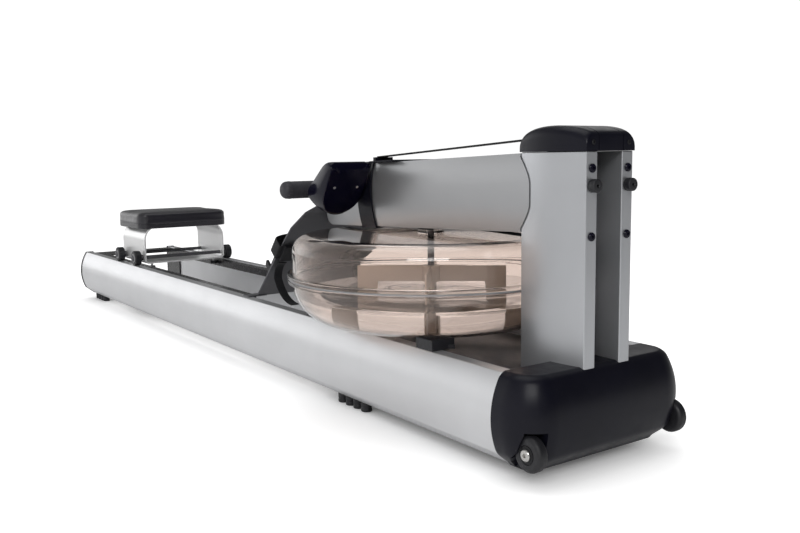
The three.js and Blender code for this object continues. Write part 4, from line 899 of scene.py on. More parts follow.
def plastic_look(name, colour, roughness, grain, depth, **sockets):
    """Moulded plastic with a fine even grain."""
    look = Look(name, colour, roughness, **sockets)
    look.mottled(look.noise(scale=14), amount=0.12)
    look.uneven(look.noise(scale=60), amount=0.05)
    look.relief(look.noise(grain, detail=2.0), strength=0.25, depth=depth)
    return look.material


def rubber_look(name, colour, roughness):
    look = Look(name, colour, roughness)
    look.mottled(look.noise(scale=30), amount=0.18)
    look.uneven(look.noise(scale=200), amount=0.08)
    look.relief(look.noise(scale=1200), strength=0.3, depth=0.08)
    return look.material


def webbing_look(name, colour):
    """Woven webbing: two crossed rows of yarns."""
    look = Look(name, colour, 0.75, Sheen_Weight=0.08, Sheen_Roughness=0.4, Specular_IOR_Level=0.3)
    weave = look.crossed(look.bands(160, "DIAGONAL"), look.bands(160, "X"))
    look.mottled(look.noise(scale=300), amount=0.25)
    look.relief(weave, strength=0.7, depth=0.35)
    return look.material


def clear_look(name, colour, roughness, index, waviness):
    look = Look(name, colour, roughness, Transmission_Weight=1.0, IOR=index)
    look.relief(look.noise(scale=12), strength=waviness, depth=0.4)
    look.mottled(look.noise(scale=5), amount=0.02)
    return look.material


def leather_look(name, colour):
    """Black leathercloth with a pebbled grain and a soft sheen."""
    look = Look(name, colour, 0.38, Sheen_Weight=0.15, Sheen_Roughness=0.5, Coat_Weight=0.25,
                Coat_Roughness=0.3)
    look.mottled(look.noise(scale=20), amount=0.15)
    look.uneven(look.noise(scale=90), amount=0.07)
    look.relief(look.cells(scale=650), strength=0.35, depth=0.16)
    look.relief(look.noise(scale=35), strength=0.15, depth=0.5)
    return look.material


def screen_look(name):
    """A grey display with fine rows of cells."""
    look = Look(name, (0.23, 0.26, 0.22), 0.25)
    look.mottled(look.crossed(look.bands(140, "X"), look.bands(140, "DIAGONAL")), amount=0.12)
    look.uneven(look.noise(scale=40), amount=0.04)
    return look.material


SILVER = metal_look("silver_satin", (0.70, 0.705, 0.72), 0.34, 0.75, (1, 0.02, 1))
# The uprights take the rails' satin aluminium painted darker: painted shade, not a different metal
SILVER_UPRIGHT_PAINTED_SHADE = metal_look("silver_satin_upright_painted_shade", (0.50, 0.51, 0.53), 0.34, 0.75, (1, 1, 0.02))
# The beams take the rails' satin aluminium painted darker still: painted shade, not a different metal
SILVER_BEAM_PAINTED_SHADE = metal_look("silver_satin_beam_painted_shade", (0.43, 0.435, 0.445), 0.34, 0.75, (1, 0.02, 1))
# The seat frame takes the satin aluminium painted brighter to stand in for the light falling on it: painted
# light
SEAT_SILVER_PAINTED_LIGHT = metal_look("seat_frame_silver_painted_light", (0.9, 0.9, 0.9), 0.34, 0.6, (1, 0.03, 1))
BOARD_GREY = metal_look("footboard_grey", (0.13, 0.13, 0.14), 0.42, 0.6, (1, 1, 0.05))
DARK_STEEL = metal_look("dark_steel", (0.12, 0.12, 0.13), 0.4, 0.6, (1, 0.05, 1))
BRIGHT_STEEL = metal_look("bright_steel", (0.55, 0.54, 0.52), 0.3, 1.0, (0.05, 1, 1))
SATIN_BLACK = plastic_look("satin_black", (0.006, 0.006, 0.0115), 0.34, 900, 0.06, Specular_IOR_Level=0.2)
TRACK_BLACK = plastic_look("track_black", (0.012, 0.011, 0.013), 0.28, 700, 0.015)
GLOSS_BLACK = plastic_look("gloss_black", (0.0035, 0.0032, 0.012), 0.16, 200, 0.01, Specular_IOR_Level=0.16,
                           Coat_Weight=0.15, Coat_Roughness=0.08)
MATT_BLACK = plastic_look("matt_black", (0.009, 0.009, 0.011), 0.5, 700, 0.12, Specular_IOR_Level=0.3)
HUB_GREY = plastic_look("hub_grey", (0.30, 0.30, 0.31), 0.4, 700, 0.05)
RUBBER = rubber_look("black_rubber", (0.012, 0.012, 0.015), 0.5)
GRIP = rubber_look("grip_rubber", (0.035, 0.034, 0.042), 0.6)
WEBBING = webbing_look("black_webbing", (0.010, 0.010, 0.012))
LEATHER = leather_look("black_leathercloth", (0.011, 0.010, 0.016))
PADDLE_GREY = metal_look("paddle_metal", (0.72, 0.63, 0.55), 0.4, 0.1, (0.05, 0.05, 1))
SMOKY = clear_look("smoky_clear", (0.78, 0.70, 0.655), 0.02, 1.45, 0.006)
WATER = clear_look("water_clear", (0.95, 0.95, 0.955), 0.02, 1.33, 0.02)
SCREEN = screen_look("display")


# Small fastenings: a size is the head's radius, its height, and the reach of its socket
def screw_shape(radius, height, socket):
    """A round head with a six-sided socket, standing along Z from the origin."""
    rings = [[(x, y, height * h) for x, y in circle(radius * r, SCREW_TURNS)] for r, h in SCREW_SHARES]
    rings.append([(x, y, height) for x, y in circle(socket * SOCKET_RIM_SHARE, SCREW_TURNS)])
    for h in (height, height * SOCKET_FLOOR_SHARE):
        ring = []
        for i in range(SCREW_TURNS):
            turn = FULL * i / SCREW_TURNS
            reach = socket * math.cos(SIXTH / 2) / math.cos((turn % SIXTH) - SIXTH / 2)
            ring.append((reach * math.cos(turn), reach * math.sin(turn), h))
        rings.append(ring)
    return lofted(rings)


def add_screws(name, places, way, size, material, body):
    """Screws in a row; way is the direction in which their heads stand."""
    shapes = [moved(screw_shape(*size), Matrix.Translation(place) @ standing(way)) for place in places]
    return add_piece(name, joined(*shapes), material, body)


def axle_heads(size, end, y, z):
    """A round head on each end of an axle that lies across."""
    return [moved(screw_shape(*size), laid((side * end, y, z), QUARTER * side, "Y")) for side, _ in SIDES]


# Rails
def rail_outline():
    return [
        (RAIL_INNER_X, RAIL_TOP_Z),
        *arc_through((RAIL_TOP_X, RAIL_TOP_Z), (RAIL_BULGE_X, RAIL_BULGE_Z),
                     (RAIL_CREASE_X, RAIL_CREASE_Z), RAIL_STEPS),
        (RAIL_INNER_X + RAIL_TOE_WIDTH, RAIL_TOE_Z),
        (RAIL_INNER_X, RAIL_TOE_Z),
    ]


def add_rails():
    for side, name in SIDES:
        outline = mirrored(rail_outline(), side)
        add_piece(f"{name}_rail_skin", along_y(outline, at(RAIL_FRONT), at(RAIL_REAR)), SILVER, "frame",
                  [f"{name}_rail"], edge=EDGE_RAIL, degrees=16, segments=4)
        polished(f"{name}_seat_track", TRACK_BLACK, EDGE_SMALL)
        polished(f"{name}_rail_end_cap", SATIN_BLACK, EDGE_CAP, segments=3)
    polished("rear_cross_member", TRACK_BLACK)
    polished("tank_deck", DARK_STEEL)


# Front cap: the rails' bulge carried round both corners, level by level
def cap_half_width(z):
    points = sorted((pz, px) for px, pz in rail_outline()[1:-1])
    level = min(max(z, points[0][0]), points[-1][0])
    for (z0, x0), (z1, x1) in zip(points, points[1:]):
        if z0 <= level <= z1:
            return x0 + (x1 - x0) * (level - z0) / (z1 - z0) + CAP_RIM
    return points[-1][1] + CAP_RIM


def cap_ring(z, inset, half_limit=None, rear_more=0.0):
    """The cap's plan at a height: its half width there also sets how far the front and corners draw in."""
    samples = [cap_half_width(z + CAP_CREASE_ROUND * i / 4) for i in range(-3, 4)]
    outer = sum(samples) / len(samples) if z < RAIL_BULGE_Z else cap_half_width(z)
    draw_in = RAIL_BULGE_X + CAP_RIM - outer + inset
    half = outer - inset
    front = at(CAP_FRONT) + draw_in
    corner = CAP_CORNER - draw_in
    rear = at(CAP_REAR) + rear_more
    right = [(half, rear + (front + corner - rear) * i / CAP_SIDE_STEPS) for i in range(CAP_SIDE_STEPS)]
    right += arc(half - corner, front + corner, corner, corner, 0, -QUARTER, CAP_CORNER_STEPS)
    if half_limit:
        right = [(min(x, half_limit), y) for x, y in right]
    left = [(-x, y) for x, y in right][::-1]
    return [(x, y, z) for x, y in right + left]


def recess_shapes(side):
    """The room for a transport wheel: a box inside the cap and an opening through its side."""
    low = CAP_FOOT_Z - CAP_WALL
    top = WHEEL_Z + RECESS_REACH
    ahead = at(0) - CAP_WALL
    outline = [(ahead, top), (at(RECESS_UPPER[0]), top), (at(RECESS_UPPER[0]), RECESS_UPPER[1]),
               (at(RECESS_MIDDLE), WHEEL_Z), (at(RECESS_LOWER[0]), RECESS_LOWER[1]), (at(RECESS_REAR), low),
               (ahead, low)]
    behind = at(WHEEL_STATION + RECESS_REACH)
    inner = box(*span(side, RECESS_INNER_X, RECESS_OUTER_X), ahead, behind, low, top)
    return inner, along_x(outline, *span(side, RECESS_INNER_X, RAIL_BULGE_X + CAP_WALL))


def add_front_cap():
    edge_z = CAP_TOP_Z - CAP_TOP_ROUND
    levels = [CAP_FOOT_Z + (edge_z - CAP_FOOT_Z) * i / CAP_LEVELS for i in range(CAP_LEVELS + 1)]
    rings = [cap_ring(CAP_FOOT_Z, CAP_FOOT_ROUND)]
    rings += [cap_ring(z + (CAP_FOOT_ROUND / 2 if i == 0 else 0), 0) for i, z in enumerate(levels)]
    for x, y in arc(0, 0, CAP_TOP_ROUND, CAP_TOP_ROUND, 0, QUARTER, 8)[1:]:
        rings.append(cap_ring(edge_z + y, CAP_TOP_ROUND - x))
    inside = CAP_TOP_Z - CAP_WALL - CAP_FOOT_Z
    cavity = [cap_ring(CAP_FOOT_Z + inside * i / CAVITY_LEVELS, CAP_WALL, CAP_CAVITY_HALF, CAP_WALL)
              for i in range(CAVITY_LEVELS + 1)]
    foot = [(x, y, z - CAP_WALL) for x, y, z in cavity[0]]
    cap = add_piece("front_cap_cover", lofted(rings), SATIN_BLACK, "frame", ["front_cap"], degrees=40)
    cut_by(cap, lofted([foot, *cavity]), *[shape for side, _ in SIDES for shape in recess_shapes(side)])
    softened(cap, EDGE, degrees=50, segments=2)


# Transport wheels, their hubs and the axle's heads
def add_transport_wheels():
    y, r = at(WHEEL_STATION), WHEEL_ROUND
    outer = WHEEL_INNER_X + WHEEL_WIDTH
    bore = AXLE_RADIUS + GAP
    tyre = [(bore, WHEEL_INNER_X + CHAMFER), (WHEEL_RADIUS - r, WHEEL_INNER_X),
            *arc(WHEEL_RADIUS - r, WHEEL_INNER_X + r, r, r, -QUARTER, 0, 6)[1:],
            *arc(WHEEL_RADIUS - r, outer - r, r, r, 0, QUARTER, 8),
            (WHEEL_FACE_RADIUS, outer), (WHEEL_DISH_RADIUS, outer - WHEEL_DISH), (bore, outer - WHEEL_DISH)]
    hub = [(bore, outer - SUNK), (WHEEL_HUB_RADIUS, outer - SUNK), (WHEEL_HUB_RADIUS, outer - WHEEL_HUB_SIDE),
           (WHEEL_HUB_FACE, outer + WHEEL_HUB_PROUD), (bore, outer + WHEEL_HUB_PROUD)]
    for side, name in SIDES:
        body = f"{name}_transport_wheel"
        add_piece(f"{name}_roller_tyre", turned_x(handed(tyre, side), y, WHEEL_Z, WHEEL_TURNS), RUBBER, body,
                  [body])
        add_piece(f"{name}_roller_hub", turned_x(handed(hub, side), y, WHEEL_Z), MATT_BLACK, body)
    end = outer + GAP
    rod = turned_x(both_ends([(0, -end), (AXLE_RADIUS, -end)]), y, WHEEL_Z, SMALL_TURNS)
    add_piece("transport_axle_rod", joined(rod, *axle_heads(TRANSPORT_HEAD, end, y, WHEEL_Z)), BRIGHT_STEEL,
              "frame", ["transport_axle"])


# Tower
def upright_outline(grow=0.0):
    front = at(TOWER_FRONT) - grow
    rear = at(TOWER_REAR) + grow
    bulge = arc_through((TOWER_FLAT_X + grow, front), (TOWER_BULGE_X + grow, (front + rear) / 2),
                        (TOWER_FLAT_X + grow, rear), TOWER_STEPS)
    return [(TOWER_INNER_X - grow, front), *bulge, (TOWER_INNER_X - grow, rear)]


def add_uprights():
    front, rear = at(TOWER_FRONT - BUMPER_LENGTH), at(TOWER_FRONT) - GAP
    r, corner = BUMPER_RADIUS, BUMPER_ROUND
    bumper = [(0, front + BUMPER_BORE), (BUMPER_BORE_RADIUS, front + BUMPER_BORE),
              (BUMPER_BORE_RADIUS, front + EDGE), (BUMPER_MOUTH_RADIUS, front),
              *arc(r - corner, front + corner, corner, corner, -QUARTER, 0, 5), (r, rear - BUMPER_HEEL),
              (r - EDGE, rear), (0, rear)]
    for side, name in SIDES:
        shape = along_z(mirrored(upright_outline(), side), TOWER_FOOT_Z, TOWER_TOP_Z)
        add_piece(f"{name}_upright_skin", shape, SILVER_UPRIGHT_PAINTED_SHADE, "frame", [f"{name}_upright"], edge=EDGE_CAP,
                  degrees=20)
        add_screws(f"{name}_upright_screws", [(STRIP_X * side, at(TOWER_FRONT), z) for z in TOWER_SCREW_ZS],
                   (0, -1, 0), TOWER_SCREW, GLOSS_BLACK, "frame")
        add_piece(f"{name}_bumper_pad", turned_y(bumper, STRIP_X * side, BUMPER_Z), RUBBER, "frame",
                  [f"{name}_bumper"])


def top_ends():
    """The front and the rear of the tower's top cap."""
    return at(TOWER_FRONT) - TOP_RIM, at(TOWER_REAR) + TOP_RIM


def crown_height(x, y, reach):
    """Height of the top cap's skin over its base, reach being its edge at this place along."""
    centre = at((TOWER_FRONT + TOWER_REAR) / 2)
    half = (TOWER_REAR - TOWER_FRONT) / 2 + TOP_RIM
    share = min(1.0, abs(y - centre) / half)
    rise = (TOP_HEIGHT - TOP_SIDE) * math.sqrt(1 - share * share)
    near = max(0.0, TOP_ROUND - (reach - abs(x)))
    drop = TOP_ROUND - math.sqrt(max(0.0, TOP_ROUND ** 2 - min(near, TOP_ROUND) ** 2))
    return TOP_SIDE + rise - drop


def crown_shape(x_inner, x_outer_at, side):
    """A crowned block between an inner face and an outer edge that may follow the bulge."""
    front, rear = top_ends()
    centre, half = (front + rear) / 2, (rear - front) / 2
    base = TOWER_TOP_Z + GAP
    top, low = [], []
    for i in range(TOP_GRID + 1):
        y = centre - half * math.cos(math.pi * i / TOP_GRID)
        outer, reach = x_outer_at(y)
        row = []
        for j in range(TOP_GRID + 1):
            x = x_inner + (outer - x_inner) * math.sin(QUARTER * j / TOP_GRID)
            row.append((x * side, y, base + crown_height(x, y, reach)))
        top.append(row)
        low.append([(x, y, base) for x, y, _ in row])
    points, faces = joined(grid(top), grid(low))
    wide = TOP_GRID + 1
    under = wide * wide
    rim = list(range(wide)) + [i * wide + TOP_GRID for i in range(1, wide)]
    rim += [TOP_GRID * wide + j for j in range(TOP_GRID - 1, -1, -1)]
    rim += [i * wide for i in range(TOP_GRID - 1, 0, -1)]
    for k, a in enumerate(rim):
        b = rim[(k + 1) % len(rim)]
        faces.append((a, b, b + under, a + under))
    return points, faces


def bulge_edge(y):
    front, rear = top_ends()
    line = arc_through((front, TOWER_FLAT_X + TOP_RIM), ((front + rear) / 2, TOWER_BULGE_X + TOP_RIM),
                       (rear, TOWER_FLAT_X + TOP_RIM), BULGE_SAMPLES)
    edge = min(line, key=lambda point: abs(point[0] - y))[1]
    return edge, edge


def add_top_caps():
    front, rear = top_ends()
    for side, name in SIDES:
        add_piece(f"{name}_top_cover", crown_shape(TOWER_INNER_X + GAP, bulge_edge, side), SATIN_BLACK,
                  "frame", [f"{name}_top_cap"], edge=TOP_SEAM_ROUND, degrees=40)
        add_screws(f"{name}_top_screw", [(STRIP_X * side, front, TOWER_TOP_Z + TOP_SCREW_RISE)], (0, -1, 0),
                   TOP_SCREW, MATT_BLACK, "frame")
    inner = TOWER_INNER_X - TOP_SEAM
    middle = add_piece("middle_top_cover", crown_shape(-inner, lambda y: (inner, TOP_FAR_EDGE), 1),
                       SATIN_BLACK, "frame", ["middle_top_cap"], degrees=40)
    centre = (front + rear) / 2
    base = TOWER_TOP_Z + GAP
    crown = TOP_HEIGHT - TOP_SIDE
    inside = [(front + TOP_WALL, base - CUT_OVER), (rear - TOP_WALL, base - CUT_OVER)]
    inside += arc(centre, base + TOP_SIDE, rear - TOP_WALL - centre, crown - TOP_WALL, 0, math.pi, 40)
    slot = box(-BELT_SLOT_HALF, BELT_SLOT_HALF, centre, rear + CUT_OVER, base - CUT_OVER - SUNK,
               base + TOP_SIDE + crown / 2)
    cut_by(middle, along_x(inside, TOP_WALL - inner, inner - TOP_WALL), slot)
    softened(middle, EDGE_SMALL, degrees=50, segments=2)


# Beams
def beam_matrix():
    return laid((0, at(TOWER_REAR), BEAM_FOOT_Z), -BEAM_TILT, "X")


def beam_section(inset):
    """Outline across a beam: flat top, foot and inner face, its side bulged to a flat band."""
    low, high = inset, BEAM_HEIGHT - inset
    flat_low, flat_high = (BEAM_HEIGHT * share for share in BEAM_SIDE_SHARES)
    edge, side = TOWER_FLAT_X - inset, BEAM_SIDE_X - inset
    middle = edge + (side - edge) * math.sin(QUARTER / 2)
    return [(TOWER_INNER_X + inset, low),
            *arc_through((edge, low), (middle, (low + flat_low) / 2), (side, flat_low), BEAM_STEPS),
            *arc_through((side, flat_high), (middle, (flat_high + high) / 2), (edge, high), BEAM_STEPS),
            (TOWER_INNER_X + inset, high)]


def beam_side_view():
    r = BEAM_CORNER
    start = TOWER_FRONT - TOWER_REAR
    return [(start, -CUT_OVER), (BEAM_LENGTH - r, -CUT_OVER),
            *arc(BEAM_LENGTH - r, r, r, r, -QUARTER, 0, BEAM_STEPS),
            *arc(BEAM_LENGTH - r / 2, BEAM_TONGUE - r / 2, r / 2, r / 2, 0, QUARTER, 6),
            (BEAM_FULL_LENGTH, BEAM_TONGUE), (BEAM_FULL_LENGTH, BEAM_HEIGHT + CUT_OVER),
            (start, BEAM_HEIGHT + CUT_OVER)]


def add_beams():
    lay = beam_matrix()
    start = (TOWER_FRONT - TOWER_REAR) / 2
    sides = along_x(beam_side_view(), -TOWER_BULGE_X - CUT_OVER, TOWER_BULGE_X + CUT_OVER)
    for side, name in SIDES:
        body = along_y(mirrored(beam_section(0), side), start, BEAM_LENGTH + CUT_OVER)
        bore = along_y(mirrored(beam_section(BEAM_WALL), side), start - CUT_OVER, BEAM_LENGTH + 2 * CUT_OVER)
        tower = along_z(mirrored(upright_outline(BEAM_JOINT), side), TOWER_FOOT_Z, TOWER_TOP_Z + CUT_OVER)
        beam = add_piece(f"{name}_beam_skin", moved(body, lay), SILVER_BEAM_PAINTED_SHADE, "frame", [f"{name}_beam"])
        cut_by(beam, moved(sides, lay), way="INTERSECT")
        cut_by(beam, moved(bore, lay), tower)
        softened(beam, EDGE_WIDE, degrees=24)
    polished("beam_band", SATIN_BLACK, EDGE_MOULDED)
    polished("monitor_arm", SATIN_BLACK, EDGE_SMALL)


# Tank
def bowl_curve(shrink, steps=BOWL_STEPS):
    radius = TANK_RADIUS - shrink
    floor = min(TANK_FLOOR_RADIUS, radius)
    return arc(floor, TANK_BOWL_TOP_Z, radius - floor, TANK_BOWL_TOP_Z - TANK_BOTTOM_Z - shrink, -QUARTER, 0,
               steps)


def lid_curve(shrink):
    radius = TANK_RADIUS - shrink
    r = TANK_SHOULDER - shrink
    return arc(radius - r, TANK_TOP_Z - TANK_SHOULDER, r, r, 0, QUARTER, LID_STEPS)


def flange_edge(low, high):
    e = TANK_EDGE
    return (arc(TANK_FLANGE_RADIUS - e, low + e, e, e, -QUARTER, 0, 3)
            + arc(TANK_FLANGE_RADIUS - e, high - e, e, e, 0, QUARTER, 3))


def in_tank(profile, steps=TANK_TURNS):
    """A profile turned round the tank's upright axis."""
    return turned_z(profile, 0, at(TANK_STATION), steps)


def add_tank():
    flange_top = TANK_BOWL_TOP_Z + TANK_FLANGE
    ring_z = flange_top + GAP
    lid_z = ring_z + TANK_RING + GAP
    lid_top = TANK_TOP_Z + TANK_BOSS_HEIGHT
    hole = SHAFT_RADIUS + GAP
    floor_z = TANK_BOTTOM_Z + TANK_WALL
    cup_z = floor_z + SHAFT_CUP_HEIGHT
    bowl = [(0, TANK_BOTTOM_Z), *bowl_curve(0), *flange_edge(TANK_BOWL_TOP_Z, flange_top),
            (TANK_RADIUS - TANK_WALL, flange_top), *bowl_curve(TANK_WALL)[::-1], (SHAFT_CUP_RADIUS, floor_z),
            (SHAFT_CUP_RADIUS, cup_z), (hole, cup_z), (hole, floor_z), (0, floor_z)]
    add_piece("tank_lower_shell", in_tank(bowl), SMOKY, "frame", ["tank_lower_bowl"], degrees=40)
    lid = [(TANK_RADIUS - TANK_WALL, lid_z), *flange_edge(lid_z, lid_z + TANK_FLANGE),
           (TANK_RADIUS, lid_z + TANK_FLANGE), *lid_curve(0), (TANK_BOSS_RADIUS, TANK_TOP_Z),
           (TANK_BOSS_RADIUS, lid_top), (hole, lid_top), (hole, TANK_TOP_Z - TANK_WALL),
           *lid_curve(TANK_WALL)[::-1]]
    add_piece("tank_upper_shell", in_tank(lid), SMOKY, "frame", ["tank_upper_bowl"], degrees=40)
    outer = TANK_FLANGE_RADIUS - SEAL_INSET
    ring = [(TANK_RADIUS - SUNK, ring_z), (outer, ring_z), (outer, ring_z + TANK_RING),
            (TANK_RADIUS - SUNK, ring_z + TANK_RING)]
    add_piece("tank_seal", in_tank(ring), HUB_GREY, "frame", ["tank_joint_ring"])


def add_tank_mat():
    """Crossed strips under the tank, with a block on the rail at each end cut to the bowl."""
    y = at(TANK_STATION)
    low, high = RAIL_TOP_Z + GAP, TANK_BOTTOM_Z - GAP
    block_x = RAIL_TOP_X - MAT_BLOCK_WIDTH / 2
    block_y = (MAT_BLOCK_NEAR + MAT_STRIP_FAR) / 2
    reach, turn = math.hypot(block_x, block_y), math.atan2(block_y, block_x)
    half = MAT_STRIP_WIDTH / 2
    strip = box(-reach, reach, -half, half, low, high)
    shapes = [moved(strip, laid((0, y, 0), angle, "Z")) for angle in (turn, -turn)]
    for side, _ in SIDES:
        for way in (-1, 1):
            y0, y1 = sorted([y + way * MAT_BLOCK_NEAR, y + way * MAT_BLOCK_FAR])
            shapes.append(box(*span(side, RAIL_TOP_X, RAIL_TOP_X - MAT_BLOCK_WIDTH), y0, y1, low,
                              low + MAT_BLOCK_HEIGHT))
    mat = add_piece("tank_rest", shapes[0], RUBBER, "frame", ["tank_mat"])
    cut_by(mat, *shapes[1:], way="UNION")
    bowl = [(0, TANK_BOTTOM_Z - GAP), *bowl_curve(-GAP), (TANK_RADIUS + GAP, TANK_TOP_Z), (0, TANK_TOP_Z)]
    cut_by(mat, in_tank(bowl))
    softened(mat, EDGE, degrees=40, segments=2)


def add_water():
    y = at(TANK_STATION)
    along, turned_along, outward = WATER_WAVES
    curve = [p for p in bowl_curve(TANK_WALL + GAP, WATER_STEPS) if p[1] < WATER_Z]
    rim = curve[-1][0]
    profile = [(0, TANK_BOTTOM_Z + TANK_WALL + GAP), *curve]
    profile += [(rim * (1 - i / WATER_RINGS), WATER_Z) for i in range(WATER_RINGS + 1)]
    points, faces = in_tank(profile)
    wavy = []
    for px, py, pz in points:
        r = math.hypot(px, py - y)
        if pz == WATER_Z and WATER_EDGE < r < rim - WATER_EDGE:
            pz += WATER_RIPPLE * (math.sin(px / along + py / turned_along) + math.sin(r / outward)) / 2
        wavy.append((px, py, pz))
    add_piece("tank_water", (wavy, faces), WATER, "frame", ["water"], degrees=60)


def add_paddle():
    low, high = TANK_BOTTOM_Z + TANK_WALL + GAP, SPOOL_BASE_Z + SPOOL_HEIGHT + GAP
    arm_low = PADDLE_ARM_TOP_Z - PADDLE_ARM_HEIGHT
    fin_low, r = arm_low - PADDLE_FIN_DROP, PADDLE_FIN_ROUND
    shaft = [(0, PADDLE_ARM_TOP_Z), (SHAFT_RADIUS, PADDLE_ARM_TOP_Z), (SHAFT_RADIUS, high), (0, high)]
    add_piece("paddle_shaft", in_tank(shaft, TURNS), DARK_STEEL, "paddle")
    hub = [(0, low), (SHAFT_RADIUS, low), (SHAFT_RADIUS, arm_low), (PADDLE_HUB_RADIUS, arm_low),
           (PADDLE_HUB_RADIUS, PADDLE_ARM_TOP_Z), (0, PADDLE_ARM_TOP_Z)]
    parts = [in_tank(hub, TURNS)]
    arm = [(PADDLE_ROOT, arm_low), (PADDLE_FIN_INNER, arm_low),
           (PADDLE_FIN_INNER + PADDLE_FIN_SLANT, fin_low),
           (PADDLE_RADIUS - r, fin_low), *arc(PADDLE_RADIUS - r, fin_low + r, r, r, -QUARTER, 0, 5)[1:],
           (PADDLE_RADIUS, PADDLE_ARM_TOP_Z), (PADDLE_ROOT, PADDLE_ARM_TOP_Z)]
    for i in range(PADDLE_ARMS):
        turn = laid((0, at(TANK_STATION), 0), PADDLE_TURN + FULL * i / PADDLE_ARMS, "Z")
        parts.append(moved(along_y(arm, -PADDLE_SHEET / 2, PADDLE_SHEET / 2), turn))
    add_piece("paddle_wheel", joined(*parts), PADDLE_GREY, "paddle", ["paddle"], edge=EDGE_FINE)


def add_droplets():
    """Small drops on the inside of the upper bowl's wall."""
    pick = random.Random(DROPLET_SEED)
    radius = TANK_RADIUS - TANK_WALL
    shapes = []
    for _ in range(DROPLET_COUNT):
        turn = pick.uniform(0, FULL)
        z = WATER_Z + pick.uniform(DROPLET_LOW, DROPLET_HIGH) * pick.uniform(0, 1) + DROPLET_LOW
        size = pick.uniform(*DROPLET_RADII)
        profile = [(size * r, size * h) for r, h in DROPLET_SHARES]
        place = Matrix.Translation((radius * math.cos(turn), at(TANK_STATION) + radius * math.sin(turn), z))
        inward = standing((-math.cos(turn), -math.sin(turn), 0))
        shapes.append(moved(turned_z(profile, 0, 0, DROPLET_TURNS), place @ inward))
    add_piece("tank_droplets", joined(*shapes), WATER, "frame", degrees=60)


# Belt drive
def tangent_angle(first, first_radius, second, second_radius):
    gap = math.hypot(second[0] - first[0], second[1] - first[1])
    return (math.atan2(second[1] - first[1], second[0] - first[0])
            + math.acos((first_radius - second_radius) / gap))


def beam_point(y, z):
    point = beam_matrix() @ Vector((0, y, z))
    return point.y, point.z


def onto_spool(start, radius, z, side):
    """The half turn round the spool that begins where a line from a point meets it."""
    y = at(TANK_STATION)
    meet = -QUARTER + side * math.acos(radius / (y - start.y))
    line = arc(0, y, radius, radius, meet, meet + side * math.pi, 2 * ARC_STEPS)
    return [Vector((px, py, z)) for px, py in line]


def add_belt():
    reach = GAP + BELT_THICKNESS / 2
    rod = beam_point(BAND_STATION + BAND_WIDTH - GUIDE_RADIUS,
                     BEAM_HEIGHT + GAP + BAND_THICKNESS + GUIDE_RISE)
    rod_r = GUIDE_RADIUS + reach
    pulley = (at(PULLEY_STATION), PULLEY_Z)
    pulley_r = PULLEY_RADIUS + reach
    groove_top = SPOOL_BASE_Z + SPOOL_FLANGE + GROOVE_HEIGHT
    spool_z = (groove_top + SPOOL_BASE_Z + SPOOL_HEIGHT) / 2
    hook = beam_point(HANDLE_ALONG, BEAM_TONGUE + GAP + HANDLE_RADIUS + HOOK_RADIUS + reach)
    to_spool = Vector((at(TANK_STATION) - pulley[0], spool_z - pulley[1]))
    leave = math.atan2(to_spool.y, to_spool.x) - math.acos(pulley_r / to_spool.length)
    meet = tangent_angle(pulley, pulley_r, rod, rod_r)
    line = [hook, *arc(*rod, rod_r, rod_r, tangent_angle(rod, rod_r, hook, 0), meet, 8),
            *arc(*pulley, pulley_r, pulley_r, meet, leave, 2 * ARC_STEPS)]
    flat = [Vector((0, y, z)) for y, z in line]
    wound = onto_spool(flat[-1], SPOOL_RADIUS + reach, spool_z, -1)
    run = [flat[-1].lerp(wound[0], i / ARC_STEPS) for i in range(1, ARC_STEPS)]
    turns = [0] * len(flat) + [QUARTER * i / ARC_STEPS for i in range(1, ARC_STEPS)] + [QUARTER] * len(wound)
    ways = [Vector((math.cos(turn), 0, -math.sin(turn))) for turn in turns]
    shape = swept(flat + run + wound, ways, flat_section(BELT_WIDTH, BELT_THICKNESS))
    add_piece("drive_webbing", shape, WEBBING, "frame", ["drive_belt"], edge=EDGE_HAIR)


def add_recoil_cord():
    reach = RECOIL_RADIUS + GAP + CORD_RADIUS
    spool_reach = SPOOL_RADIUS - SPOOL_FLANGE + GAP + CORD_RADIUS
    cord_z = SPOOL_BASE_Z + SPOOL_FLANGE + GROOVE_HEIGHT / 2
    y = at(RECOIL_STATION)
    leave = tangent_angle((y, RECOIL_Z), reach, (at(TANK_STATION), cord_z), 0)
    line = [(y - reach, DECK_TOP_Z + ANCHOR_HEIGHT + GAP)]
    line += arc(y, RECOIL_Z, reach, reach, math.pi, leave, ARC_STEPS)
    down = [Vector((0, py, pz)) for py, pz in line]
    wound = onto_spool(down[-1], spool_reach, cord_z, 1)
    shape = swept(down + wound, [ACROSS] * len(down) + [UP] * len(wound), circle(CORD_RADIUS, 16))
    add_piece("recoil_line", shape, WEBBING, "frame", ["recoil_cord"], degrees=60)


